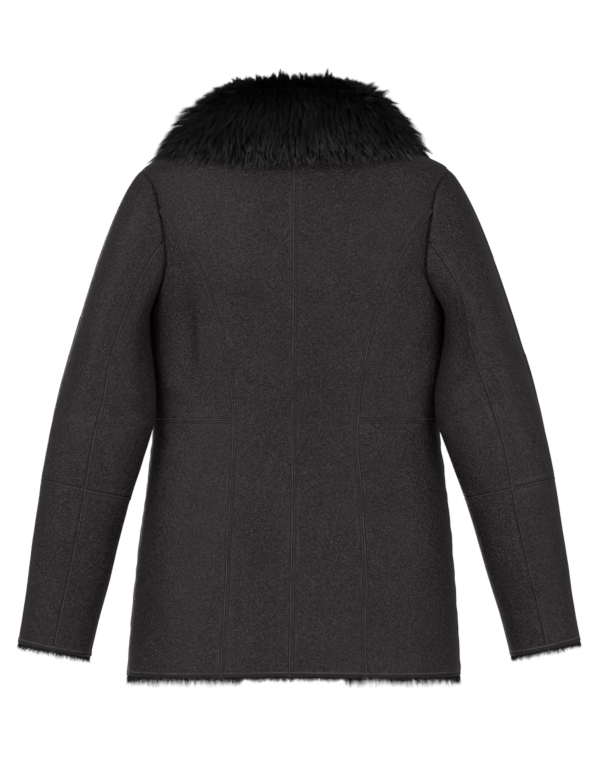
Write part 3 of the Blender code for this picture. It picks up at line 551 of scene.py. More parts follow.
def armhole_offsets(side, around):
    """From the seam's outer line to its inner line, for the body's wall and for the sleeve's.

    The third result is the mean of both outward directions, along which the seam sinks."""
    spot = armhole(side, around)
    body = body_normal(spot[..., 0], spot[..., 1])
    sleeve = sleeve_normal(side, around, np.zeros_like(around))
    leaving = unit(sleeve_point(side, around, 0.02) - sleeve_point(side, around, 0.0))
    corner = smooth_step(0.05, -0.15, np.sum(leaving * body, axis=-1))[..., None]
    halfway = unit(body + sleeve)
    halfway = halfway / np.maximum(np.sum(halfway * body, axis=-1), 0.6)[..., None]
    return (WALL * (body + (halfway - body) * corner), WALL * (sleeve + (halfway - sleeve) * corner),
            (body + sleeve) / 2)


# ------------------------------------------------------------------ shaders

class Value:
    """One output of a node tree, on which +, - and * add Math nodes."""

    def __init__(self, finish, link):
        self.finish, self.link = finish, link

    def combined(self, operation, first, second):
        return self.finish.node("ShaderNodeMath", {"operation": operation}, {0: first, 1: second})

    def __add__(self, other):
        return self.combined("ADD", self, other)

    def __radd__(self, other):
        return self.combined("ADD", other, self)

    def __sub__(self, other):
        return self.combined("SUBTRACT", self, other)

    def __rsub__(self, other):
        return self.combined("SUBTRACT", other, self)

    def __mul__(self, other):
        return self.combined("MULTIPLY", self, other)

    def within(self, low, high):
        """0 where the value is below low, 1 above high, and an S-shaped rise between."""
        return self.finish.node("ShaderNodeMapRange", {"interpolation_type": "SMOOTHSTEP"},
                                {"Value": self, "From Min": low, "From Max": high})


class Finish:
    """A material and the nodes that make its colour, roughness and relief."""

    def __init__(self, name, gloss, **more):
        self.material = bpy.data.materials.new(name)
        self.material.use_nodes = True
        self.nodes = self.material.node_tree.nodes
        self.links = self.material.node_tree.links
        self.shader = self.nodes["Principled BSDF"]
        self.feed(self.shader, {"Metallic": 0.0, "Specular IOR Level": gloss, **more})

    def node(self, kind, settings=None, inputs=None, output=0):
        """Adds a node: its settings first, then the numbers, colours or links of its sockets."""
        made = self.nodes.new(kind)
        for name, setting in (settings or {}).items():
            setattr(made, name, setting)
        self.feed(made, inputs or {})
        return Value(self, made.outputs[output])

    def feed(self, made, inputs):
        for socket, given in inputs.items():
            if isinstance(given, Value):
                self.links.new(given.link, made.inputs[socket])
            else:
                made.inputs[socket].default_value = given

    def place(self):
        return self.node("ShaderNodeTexCoord", output="Object")

    def stretched(self, place, scale):
        return self.node("ShaderNodeVectorMath", {"operation": "MULTIPLY"}, {0: place, 1: scale})

    def noise(self, place, scale, detail=3.0, rough=0.55):
        return self.node("ShaderNodeTexNoise", None,
                         {"Vector": place, "Scale": scale, "Detail": detail, "Roughness": rough})

    def cells(self, place, scale):
        return self.node("ShaderNodeTexVoronoi", None, {"Vector": place, "Scale": scale}, output="Distance")

    def mark(self, name):
        return self.node("ShaderNodeAttribute", {"attribute_name": name}, output="Fac")

    def blend(self, share, first, second):
        """Mix of two colours, each given as red, green and blue or as a link."""
        first, second = (given if isinstance(given, Value) else (*given, 1) for given in (first, second))
        return self.node("ShaderNodeMix", {"data_type": "RGBA"},
                         {0: share, 6: first, 7: second}, output=2)

    def relief(self, height, depth, strength=1.0):
        return self.node("ShaderNodeBump", None, {"Height": height, "Distance": depth, "Strength": strength})

    def wear(self, colour, roughness, relief):
        self.feed(self.shader, {"Base Color": colour, "Roughness": roughness, "Normal": relief})
        return self.material


def leather_finish():
    """Soft nappa: fine pebbled grain with painted glints, speckled dye in brown, violet and olive blacks,
    rubbed ridges with a painted highlight, and painted shade in the seams' grooves.
    """
    finish = Finish("leather", 0.24)
    place = finish.place()
    cloud = finish.noise(place, 9.0, 3.0)
    patch = finish.noise(place, 26.0, 3.0)
    mottle = finish.noise(place, 390.0, 2.0, 0.6)
    speck = finish.noise(place, 620.0, 1.0, 0.5)
    tone = finish.noise(place, 150.0, 2.0, 0.6) * 0.55 + finish.noise(place, 32.0, 2.0, 0.5) * 0.45
    pebble = finish.cells(place, 480.0)
    crackle = finish.cells(finish.stretched(place, (1.0, 1.0, 1.7)), 240.0)
    shade = ((mottle - 0.5) * 3.0 + (speck - 0.5) * 2.6) * (0.25 + patch * 1.3) + (cloud - 0.5) * 0.6 + 0.5
    dyed = finish.blend(shade.within(-0.15, 1.25), (0.0034, 0.0021, 0.0024), (0.0310, 0.0216, 0.0229))
    warm = finish.blend(tone.within(0.54, 0.72) * 0.32, dyed, (0.0185, 0.0149, 0.0091))
    cool = finish.blend((1 - tone).within(0.54, 0.72) * 0.32, warm, (0.0165, 0.0102, 0.0177))
    # painted glints: small bright specks that stand in for highlights on the pebbled grain
    bright = finish.blend(speck.within(0.58, 0.74) * patch * 0.9, cool, (0.0720, 0.0577, 0.0583))
    # rubbed ridges: real wear, and a painted highlight along them
    rubbed = finish.blend(finish.mark("rubbed") * (0.45 + mottle * 0.5), bright, (0.0800, 0.0660, 0.0670))
    # painted shade in the grooves along the panels' edges and the seams
    shaded = finish.blend(finish.mark("groove"), rubbed, (0.0016, 0.0011, 0.0012))
    height = pebble * 0.5 + crackle * 0.8 + mottle * 1.0 + speck * 0.4
    return finish.wear(shaded, 0.46 + mottle * 0.26 - finish.mark("rubbed") * 0.08,
                       finish.relief(height, 0.00070, 1.0))


def wool_finish(name, low, high):
    """Clipped curly wool: tight small whorls, with painted shade in the hollows between the curls."""
    finish = Finish(name, 0.2)
    place = finish.place()
    warp = finish.noise(place, 160.0, 2.0)
    curl = finish.cells(place, 330.0)
    lock = finish.cells(place, 110.0)
    height = 1 - curl * 0.8 - lock * 0.5 + warp * 0.4
    tip = finish.mark("tint")
    # painted shade: the colour follows the relief, darker in its low parts
    colour = finish.blend(height.within(0.2, 1.1) * 0.7 + tip * 0.3, low, high)
    return finish.wear(colour, 0.78 + warp * 0.2, finish.relief(height, 0.0022, 0.9))


def fur_finish(name, low, high, roughness):
    """Long glossy hair: each strand has its own tint, brighter towards the tip."""
    finish = Finish(name, 0.30)
    tint = finish.mark("tint")
    patch = finish.noise(finish.place(), 35.0, 2.0)
    colour = finish.blend((tint + (patch - 0.5) * 0.6).within(0.0, 1.0), low, high)
    fine = finish.noise(finish.place(), 900.0, 1.0)
    return finish.wear(colour, roughness + fine * 0.12, finish.relief(fine, 0.0001, 0.3))


def undercoat_finish():
    finish = Finish("fur_undercoat", 0.1)
    place = finish.place()
    nap = finish.noise(place, 420.0, 4.0, 0.7)
    colour = finish.blend(nap, (0.0046, 0.0042, 0.0042), (0.0110, 0.0100, 0.0102))
    return finish.wear(colour, 0.85 + nap * 0.1, finish.relief(nap, 0.003, 1.0))


def thread_finish():
    finish = Finish("thread", 0.35)
    place = finish.place()
    twist = finish.noise(place, 1800.0, 1.0)
    colour = finish.blend(twist, (0.0100, 0.0090, 0.0090), (0.0260, 0.0230, 0.0230))
    return finish.wear(colour, 0.55 + twist * 0.15, finish.relief(twist, 0.0001, 0.6))


def horn_finish():
    """Polished dark horn: brown streaks in black, fine turning marks, rubbed rim."""
    finish = Finish("horn", 0.5, **{"Coat Roughness": 0.12})
    place = finish.place()
    swirl = finish.noise(place, 130.0, 4.0, 0.6)
    streak = finish.node("ShaderNodeTexWave", {"wave_type": "BANDS"},
                         {"Vector": place, "Scale": 60.0, "Distortion": 14.0, "Detail": 3.0})
    colour = finish.blend((swirl * 0.6 + streak * 0.5).within(0.35, 0.9),
                          (0.0070, 0.0050, 0.0040), (0.0420, 0.0270, 0.0170))
    finish.feed(finish.shader, {"Coat Weight": 0.35 + swirl * 0.2})
    return finish.wear(colour, 0.26 + swirl * 0.14, finish.relief(swirl, 0.0002, 0.25))


LEATHER = leather_finish()
WOOL = wool_finish("wool", (0.0045, 0.0040, 0.0042), (0.0260, 0.0230, 0.0235))
FRINGE = fur_finish("wool_fringe", (0.0060, 0.0052, 0.0055), (0.0330, 0.0290, 0.0300), 0.62)
FUR = fur_finish("fur_hair", (0.0050, 0.0046, 0.0047), (0.1250, 0.1130, 0.1190), 0.40)
UNDERCOAT = undercoat_finish()
THREAD = thread_finish()
HORN = horn_finish()


# ------------------------------------------------------------------ meshes

def mesh_piece(name, vertices, quads, triangles=None, finishes=(), faces_with=None, marks=None):
    """A mesh of quads and triangles from whole arrays, with point marks that its finish reads."""
    triangles = np.zeros((0, 3), int) if triangles is None else triangles
    mesh = bpy.data.meshes.new(name)
    mesh.vertices.add(len(vertices))
    mesh.vertices.foreach_set("co", np.ascontiguousarray(vertices, np.float32).ravel())
    corners = np.concatenate([np.ravel(quads), np.ravel(triangles)]).astype(np.int32)
    starts = np.concatenate([np.arange(len(quads)) * 4,
                             len(quads) * 4 + np.arange(len(triangles)) * 3]).astype(np.int32)
    mesh.loops.add(len(corners))
    mesh.loops.foreach_set("vertex_index", corners)
    mesh.polygons.add(len(starts))
    mesh.polygons.foreach_set("loop_start", starts)
    mesh.update(calc_edges=True)
    mesh.validate()
    for mark, values in (marks or {}).items():
        attribute = mesh.attributes.new(mark, "FLOAT", "POINT")
        attribute.data.foreach_set("value", np.ascontiguousarray(values, np.float32).ravel())
    for finish in finishes:
        mesh.materials.append(finish)
    if faces_with is not None:
        mesh.polygons.foreach_set("material_index", np.asarray(faces_with, np.int32))
    mesh.shade_smooth()
    made = bpy.data.objects.new(name, mesh)
    bpy.context.scene.collection.objects.link(made)
    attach(made, "root")
    return made


def grid_quads(columns, rows, around=False):
    """Faces of a grid of columns by rows points; around closes it after the last column."""
    number = np.arange(columns * rows).reshape(columns, rows)
    if around:
        number = np.concatenate([number, number[:1]])
    corners = [number[:-1, :-1], number[1:, :-1], number[1:, 1:], number[:-1, 1:]]
    return np.stack(corners, axis=-1).reshape(-1, 4)


def coons(bottom, right, top, left):
    """Grid between four lines of (turn, height) points: each row and column follows its two edges."""
    u = np.linspace(0, 1, len(bottom))[:, None, None]
    v = np.linspace(0, 1, len(left))[None, :, None]
    across = (1 - v) * bottom[:, None] + v * top[:, None]
    upward = (1 - u) * left[None] + u * right[None]
    corners = ((1 - u) * (1 - v) * bottom[0] + u * (1 - v) * bottom[-1]
               + (1 - u) * v * top[0] + u * v * top[-1])
    return across + upward - corners


def yoked(bottom, right, top, left, row):
    """Two grids one above the other, parted at the given row by a straight line."""
    yoke = np.linspace(left[row], right[row], len(bottom))
    lower = coons(bottom, right[:row + 1], yoke, left[:row + 1])
    upper = coons(yoke, right[row:], top, left[row:])
    return np.concatenate([lower, upper[:, 1:]], axis=1)


EDGES = ((np.s_[0, :], np.s_[1, :]), (np.s_[-1, :], np.s_[-2, :]),
         (np.s_[:, 0], np.s_[:, 1]), (np.s_[:, -1], np.s_[:, -2]))


def drawn_in(outer, normal):
    """How far each point of a panel moves so that its edges leave half of the seam's gap."""
    shift = np.zeros_like(outer)
    for edge, neighbour in EDGES:
        along = np.gradient(outer[edge], axis=0)
        square = unit(np.cross(normal[edge], along))
        towards = np.sum(square * (outer[neighbour] - outer[edge]), axis=-1, keepdims=True)
        shift[edge] += SEAM_GAP / 2 * square * np.sign(towards)
    return shift


def reach_from_edges(outer):
    """Distance of each point of a grid from the nearest of its four edges, along the grid's lines."""
    steps_u = np.linalg.norm(np.diff(outer, axis=0), axis=-1)
    steps_v = np.linalg.norm(np.diff(outer, axis=1), axis=-1)
    from_u = np.concatenate([np.zeros((1, outer.shape[1])), np.cumsum(steps_u, axis=0)])
    from_v = np.concatenate([np.zeros((outer.shape[0], 1)), np.cumsum(steps_v, axis=1)], axis=1)
    return np.minimum(np.minimum(from_u, from_u[-1:] - from_u), np.minimum(from_v, from_v[:, -1:] - from_v))


def edged(grid, distances=(0.0013, 0.0034)):
    """The same grid with extra lines close to its four edges, so that the edges can be rounded.

    Each extra line lies between an edge and its neighbour, at a share of the step between them."""
    def with_lines(lines):
        """lines are the grid's lines along its first axis, in the plane of its two parameters."""
        step = 0.006
        near = [lines[0] + (lines[1] - lines[0]) * d / step for d in distances]
        far = [lines[-1] + (lines[-2] - lines[-1]) * d / step for d in distances[::-1]]
        return np.concatenate([lines[:1], near, lines[1:-1], far, lines[-1:]])
    return np.swapaxes(with_lines(np.swapaxes(with_lines(grid), 0, 1)), 0, 1)


def cut_size(outer):
    """Width, length and area of the skin that a panel is cut from, measured over its surface."""
    widths = np.linalg.norm(np.diff(outer, axis=0), axis=-1).sum(axis=0)
    lengths = np.linalg.norm(np.diff(outer, axis=1), axis=-1).sum(axis=1)
    across, upward = outer[1:, :-1] - outer[:-1, :-1], outer[:-1, 1:] - outer[:-1, :-1]
    area = np.linalg.norm(np.cross(across, upward), axis=-1).sum()
    return round(float(widths.max()), 3), round(float(lengths.max()), 3), float(area)


def pucker(spot, away):
    """How far the skin stands up and down beside a seam: fine waviness that fades away from it."""
    return PUCKER_HEIGHT * ripple(spot, PUCKER_LENGTH, 41) * np.exp(-away / PUCKER_REACH)


def wall_faces(outer, normal):
    """Faces of a wall's outer grid, its inner grid and the rim between them, turned outwards.

    The second result is the number of faces in the outer grid, which come first."""
    columns, rows = outer.shape[:2]
    size = columns * rows
    number = np.arange(size).reshape(columns, rows)
    quads = grid_quads(columns, rows)
    loop = np.concatenate([number[:-1, 0], number[-1, :-1], number[:0:-1, -1], number[0, :0:-1]])
    after = np.roll(loop, -1)
    rim = np.stack([after, loop, loop + size, after + size], axis=-1)
    faces = np.concatenate([quads, quads[:, ::-1] + size, rim])
    i, j = columns // 2, rows // 2
    facing = np.cross(outer[i + 1, j] - outer[i, j], outer[i, j + 1] - outer[i, j])
    if np.dot(facing, normal[i, j]) < 0:
        faces = faces[:, ::-1]
    return faces, len(quads)


def cloth_wall(name, outer, normal, offset, armhole_edge=None):
    """A panel of shearling: its outer grid is leather, the same grid moved in by offset is wool.

    Every edge sinks a little, as a seam or a turned edge does, and the skin puckers beside it. At the
    armhole the edge sinks and the wall ends along the line that halves the corner with the sleeve."""
    away = reach_from_edges(outer)
    sunk = -EDGE_ROUND * np.exp(-(away / EDGE_ROUND_WIDTH) ** 2)
    waves = pucker(outer, away)
    shift = drawn_in(outer, normal)
    inner = outer - offset + shift + normal * (NAP_HEIGHT * ripple(outer, NAP_LENGTH, 42))[..., None]
    sinking = normal.copy()
    if armhole_edge:
        edge, inwards, together = armhole_edge
        offset[edge], sinking[edge] = inwards, together
        shift[edge] *= -0.6
        gap = np.linalg.norm(outer[:, :, None] - outer[edge][None, None], axis=-1).min(axis=-1)
        waves = waves * (1 - np.exp(-(gap / 0.006) ** 2))
        sunk = sunk - ARMHOLE_HOLLOW * np.exp(-(gap / ARMHOLE_WIDTH) ** 2)
        sunk = sunk * (0.25 + 0.75 * smooth_step(SHOULDER_TIP - 0.004, SHOULDER_TIP - 0.045, outer[..., 2]))
    outer = outer + shift + sinking * sunk[..., None] + normal * waves[..., None]
    faces, outside = wall_faces(outer, normal)
    # the rubbed edge is real wear with a painted highlight, and the dark edge line is painted shade along every
    # edge, weaker at the armhole
    rubbed = np.exp(-((away - RUBBED_HIGHLIGHT_AT) / RUBBED_HIGHLIGHT_WIDTH) ** 2) * smooth_step(-0.5, 0.9, ripple(outer, 0.05, 43))
    groove = np.exp(-(away / GROOVE_SHADE_WIDTH) ** 2)
    if armhole_edge:
        groove = groove * (1 - 0.45 * np.exp(-(gap / 0.003) ** 2))
    empty = np.zeros(away.size)
    marks = {"rubbed": np.concatenate([rubbed.ravel() * RUBBED_HIGHLIGHT_SHARE, empty]),
             "groove": np.concatenate([groove.ravel() * GROOVE_SHADE_SHARE, empty]),
             "tint": np.full(2 * away.size, 0.4)}
    made = mesh_piece(name + "_skin", np.concatenate([outer.reshape(-1, 3), inner.reshape(-1, 3)]), faces,
                      finishes=(LEATHER, WOOL), faces_with=np.arange(len(faces)) >= outside, marks=marks)
    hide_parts(name)
    cut_size(outer)


def body_panel(name, side, grid, lapped=False, armhole_edge=None):
    """Panel of the body. armhole_edge is the edge that the sleeve is sewn to."""
    turn, height = grid[..., 0], grid[..., 1]
    outer = body_point(turn, height, lapped)
    normal = body_normal(turn, height, lapped)
    if armhole_edge:
        spot = grid[armhole_edge]
        around = armhole_around(side, spot[..., 0], spot[..., 1])
        inwards, _, together = armhole_offsets(side, around)
        armhole_edge = armhole_edge, inwards, together
    cloth_wall(name, outer, normal, WALL * normal, armhole_edge)


# ------------------------------------------------------------------ the body's panels

def back_centre(side, label):
    """Centre seam to curved seam, hem to neckline and shoulder."""
    outer = joined(princess_low(side), princess_high(side), armhole(side, TIP_AROUND[::-1]))
    nape = float(neck_height(0.0))
    share = (outer[:, 1] - outer[0, 1]) / (outer[-1, 1] - outer[0, 1])
    foot = float(hem_height(0.0))
    inner = centre_seam(foot + share * (nape - foot))
    hem_turns = np.linspace(inner[0, 0], outer[0, 0], many(9))
    neck_turns = np.linspace(inner[-1, 0], side * QUARTER, many(5))
    bottom = points(hem_turns, hem_height(hem_turns))
    bottom[0] = inner[0]
    top = joined(points(neck_turns, neck_height(neck_turns)), shoulder_line(side))
    top[0] = inner[-1]
    grid = edged(yoked(bottom, outer, top, inner, len(outer) - len(TIP_AROUND)))
    body_panel(f"back_centre_{label}", side, grid, armhole_edge=np.s_[-1, -len(TIP_AROUND) - 2:])


def back_side(side, label):
    """The two pieces between the curved seam and the side seam, above and below the waist seam."""
    waist = waist_line(side, len(BACK_AROUND))
    top = armhole(side, BACK_AROUND)
    upper = edged(coons(waist, side_high(side), top, princess_high(side)))
    body_panel(f"back_side_upper_{label}", side, upper, armhole_edge=np.s_[:, -1])
    hem_turns = np.linspace(princess_low(side)[0, 0], side * QUARTER, len(BACK_AROUND))
    hem = points(hem_turns, hem_height(hem_turns))
    body_panel(f"back_side_lower_{label}", side, edged(coons(hem, side_low(side), waist, princess_low(side))))


def front_column(side, x, share):
    """A line down the front at x from the middle, its points spread between hem and neckline."""
    foot = hem_height(turn_at(side, x, HEM_BACK, front=True))
    top = neck_height(turn_at(side, x, THROAT, front=True))
    heights = foot + share * (top - foot)
    return points(turn_at(side, np.full(len(share), x), heights, front=True), heights)


def front(side, label):
    """Side seam to front edge, hem to armhole, shoulder and neckline, and the strip that overlaps."""
    outer = joined(side_low(side), side_high(side), armhole(side, FRONT_AROUND))
    share = (outer[:, 1] - outer[0, 1]) / (outer[-1, 1] - outer[0, 1])
    strip = [front_column(side, x, share) for x in np.linspace(LAP_START, -LAP_EDGE, many(3) + 3)]
    hem_turns = np.linspace(side * QUARTER, strip[0][0, 0], many(10))
    neck_turns = np.linspace(side * QUARTER, strip[0][-1, 0], many(6))
    bottom = points(hem_turns, hem_height(hem_turns))
    top = joined(shoulder_line(side)[::-1], points(neck_turns, neck_height(neck_turns)))
    bottom[-1], top[-1] = strip[0][0], strip[0][-1]
    main = yoked(bottom, strip[0], top, outer, len(outer) - 1 - FRONT_YOKE)
    grid = edged(np.concatenate([main, strip[1:]]))
    body_panel(f"front_{label}", side, grid, side > 0, np.s_[0, -len(FRONT_AROUND) - 2:])


# ------------------------------------------------------------------ the sleeve's panels

UPPER_RINGS = joined(np.linspace(0, 1, many(6)), np.linspace(1, CROSS_SEAM_RING, many(9)))
LOWER_RINGS = np.linspace(CROSS_SEAM_RING, LAST_RING - CUFF_FRINGE, many(9))
UNDER_TURNS = joined(np.linspace(QUARTER, math.pi, many(5)), np.linspace(math.pi, FRONT_SEAM_TURN, many(3)))
TOP_TURNS = np.linspace(FRONT_SEAM_TURN - FULL, QUARTER, many(10))

# how far the seam down the back of each sleeve swings towards the body, in radians
BACK_SEAM = table(
    "ring left right",
    (0.0, 0.0, 0.0), (0.2, 0.02, 0.03), (0.4, 0.085, 0.08), (0.55, 0.17, 0.16), (0.75, 0.24, 0.37),
    (0.95, 0.20, 0.46), (1.2, 0.10, 0.35), (1.5, 0.035, 0.24), (1.9, 0.0, 0.12), (2.5, -0.03, 0.0),
    (3.1, -0.075, -0.06), (3.6, -0.075, -0.08), (4.2, -0.045, -0.06), (5.0, 0.0, 0.0), (LAST_RING, 0.0, 0.0),
)


def back_seam_turn(side, ring):
    """The seam down the back of the sleeve, which swings nearer the body below the armhole."""
    return QUARTER + read(BACK_SEAM, "right" if side > 0 else "left", ring)


def cuff_ring(turn):
    """The ring at which the leather ends, a little lower on the outside of the arm."""
    return LAST_RING - CUFF_FRINGE + 0.05 * (1 + np.cos(turn)) / 2


def sleeve_panels(side, label):
    """Top and under sleeve, each cut in two at the cross seam."""
    for piece, turns in (("top", TOP_TURNS), ("under", UNDER_TURNS)):
        for part, rings in (("upper", UPPER_RINGS), ("lower", LOWER_RINGS)):
            grid = edged(np.stack(np.meshgrid(turns, rings, indexing="ij"), axis=-1))
            turn, ring = grid[..., 0], grid[..., 1]
            if part == "lower":
                share = (ring - CROSS_SEAM_RING) / (rings[-1] - CROSS_SEAM_RING)
                ring = CROSS_SEAM_RING + share * (cuff_ring(turn) - CROSS_SEAM_RING)
            near_seam = smooth_step(1.5 * QUARTER, 0.0, np.abs(turn - QUARTER))
            turn = turn + (back_seam_turn(side, ring) - QUARTER) * near_seam
            outer = sleeve_point(side, turn, ring)
            normal = sleeve_normal(side, turn, ring)
            armhole_edge = None
            if part == "upper":
                _, inwards, together = armhole_offsets(side, turn[:, 0])
                armhole_edge = np.s_[:, 0], inwards, together
            cloth_wall(f"sleeve_{piece}_{part}_{label}", outer, normal, WALL * normal, armhole_edge)


# ------------------------------------------------------------------ lapped seams and stitches

def spread_evenly(surface, path, step):
    """The same path over a surface with its points a given distance apart."""
    spot = surface(path[:, 0], path[:, 1])
    reach = np.concatenate([[0.0], np.cumsum(np.linalg.norm(np.diff(spot, axis=0), axis=-1))])
    where = np.linspace(0.0, reach[-1], max(int(round(reach[-1] / step)), 2) + 1)
    return np.stack([np.interp(where, reach, path[:, 0]), np.interp(where, reach, path[:, 1])], axis=-1)


def beside(surface, path, offsets, outside):
    """Points of a surface at the given distances to the side of a path, and their outward normals.

    The path's two parameters move by offset times the step that is square to the path and one long:
    the two numbers p, q for which p times one slope plus q times the other is that step."""
    step = 0.001
    a, b = path[:, 0], path[:, 1]
    slope_a = (surface(a + step, b) - surface(a - step, b)) / (2 * step)
    slope_b = (surface(a, b + step) - surface(a, b - step)) / (2 * step)
    normal = outside * unit(np.cross(slope_a, slope_b))
    across = np.cross(normal, unit(np.gradient(surface(a, b), axis=0)))
    aa, ab, bb = (np.sum(m * n, axis=-1) for m, n in (
        (slope_a, slope_a), (slope_a, slope_b), (slope_b, slope_b)))
    ra, rb = np.sum(across * slope_a, axis=-1), np.sum(across * slope_b, axis=-1)
    area = aa * bb - ab * ab
    move = np.stack([(bb * ra - ab * rb) / area, (aa * rb - ab * ra) / area], axis=-1)
    moved = path[:, None] + np.asarray(offsets)[None, :, None] * move[:, None]
    return surface(moved[..., 0], moved[..., 1]), np.repeat(normal[:, None], len(offsets), axis=1)


# offset to the side, height over the panels, rubbed wear with a painted highlight, painted shade in the
# grooves: one layer laps over the other between stitches
LAPPED = table("offset height rubbed groove",
               (-0.0054, -0.0004, 0.0, 0.0), (-0.0044, 0.0001, 0.10, 0.0), (-0.0037, 0.0, 0.0, 0.4),
               (-0.0032, -0.0002, 0.0, 1.0), (-0.0027, 0.0001, 0.0, 0.5), (-0.0018, 0.0004, 0.15, 0.0),
               (-0.0008, 0.0004, 0.15, 0.0), (-0.0001, 0.0002, 0.0, 0.5), (0.0005, 0.0002, 0.0, 1.0),
               (0.0011, 0.0009, 0.5, 0.2), (0.0017, 0.0012, 1.0, 0.0), (0.0022, 0.0009, 0.7, 0.0),
               (0.0028, 0.0002, 0.0, 0.5), (0.0032, -0.0002, 0.0, 1.0), (0.0038, 0.0, 0.0, 0.3),
               (0.0045, 0.0001, 0.10, 0.0), (0.0054, -0.0004, 0.0, 0.0))
# a plain seam of the sleeve: a fine hollow with painted shade in it, one lip a little higher with a painted
# highlight, and one row of stitches beside it
PLAIN = table("offset height rubbed groove",
              (-0.0046, -0.0004, 0.0, 0.0), (-0.0034, 0.0001, 0.0, 0.0), (-0.0022, 0.0001, 0.0, 0.0),
              (-0.0012, 0.0001, 0.0, 0.3), (-0.0005, -0.0002, 0.0, 1.0), (0.0, -0.0002, 0.0, 1.0),
              (0.0006, 0.0003, 0.1, 0.3), (0.0013, 0.0006, 0.6, 0.0), (0.0021, 0.0004, 0.35, 0.0),
              (0.0029, 0.0001, 0.0, 0.35), (0.0034, 0.0, 0.0, 0.45), (0.0039, 0.0001, 0.0, 0.1),
              (0.0052, -0.0004, 0.0, 0.0))
# a turned edge, on the lower side, and the row of stitches that holds it; painted shade along the edge's side
# and a painted highlight on its ridge
TURNED = table("offset height rubbed groove",
               (-0.0048, -0.0008, 0.0, 0.55), (-0.0042, 0.0, 0.0, 0.55), (-0.0026, 0.0005, 0.0, 0.50),
               (-0.0014, 0.0006, 0.15, 0.45), (-0.0005, 0.0001, 0.0, 0.8), (0.0, 0.0, 0.2, 0.6),
               (0.0005, 0.0002, 0.9, 0.1), (0.0012, 0.0005, 1.0, 0.0), (0.0019, 0.0004, 0.6, 0.0),
               (0.0028, -0.0003, 0.0, 0.0))

bands, stitches = [], []


def seam(surface, path, profile, rows, outside):
    """A band over a seam, its profile carried along the path, and a row of stitches at each offset."""
    path = spread_evenly(surface, path, BAND_STEP)
    offsets = profile["offset"]
    spot, normal = beside(surface, path, offsets, outside)
    uneven = 1 + 0.25 * ripple(spot[:, :1], 0.020, 51)
    # each band carries rubbed wear with a painted highlight on its ridges, and painted shade in its grooves
    bands.append((spot + normal * (profile["height"] * uneven + pucker(spot, np.abs(offsets)))[..., None],
                  np.broadcast_to(profile["rubbed"], spot.shape[:2]) * (0.5 + 0.5 * smooth_step(
                      -0.8, 0.6, ripple(spot, 0.030, 52))),
                  np.broadcast_to(profile["groove"], spot.shape[:2]), outside))
    fine = spread_evenly(surface, path, STITCH_PITCH)
    middle = fine[:-1] + (fine[1:] - fine[:-1]) / 2
    start = fine[:-1] + (fine[1:] - fine[:-1]) * 0.5 * (1 - STITCH_LENGTH / STITCH_PITCH)
    end = fine[1:] - (start - fine[:-1])
    for row in rows:
        ends = [beside(surface, line, (row,), outside) for line in (start, middle, end)]
        line, facing = np.stack([spot[:, 0] for spot, _ in ends], axis=1), ends[1][1][:, 0]
        stitches.append((line + facing[:, None] * pucker(line, abs(row))[..., None], facing))


def lapped_seam(surface, path, outside=1):
    """The upper layer is on the left of the path, seen from outside."""
    seam(surface, path, LAPPED, (-LAP_HALF, LAP_HALF), outside)


def plain_seam(surface, path, outside=1):
    seam(surface, path, PLAIN, (PLAIN_STITCH,), outside)


def turned_edge(surface, path, outside=1):
    """The edge is on the right of the path, seen from outside."""
    seam(surface, path, TURNED, (0.0,), outside)


def thread_mesh(name, lines, normals):
    """Stitches: each a four-sided thread over three points, its ends sunk into the leather."""
    along = unit(lines[:, 2] - lines[:, 0])
    across = np.cross(normals, along)
    rise = np.array([-0.00020, 0.00030, -0.00020])
    middle = lines + normals[:, None] * rise[None, :, None]
    ring = np.stack([across, normals, -across, -normals], axis=1) * THREAD_RADIUS
    vertices = middle[:, :, None] + ring[:, None]
    count = len(lines)
    base = (np.arange(count) * 12)[:, None, None, None]
    level = (np.arange(2) * 4)[None, :, None, None]
    corner = np.arange(4)[None, None, :, None]
    after = (np.arange(4) + 1)[None, None, :, None] % 4
    quads = np.concatenate([base + level + corner, base + level + corner + 4,
                            base + level + after + 4, base + level + after], axis=-1).reshape(-1, 4)
    mesh_piece(name, vertices.reshape(-1, 3), quads, finishes=(THREAD,))


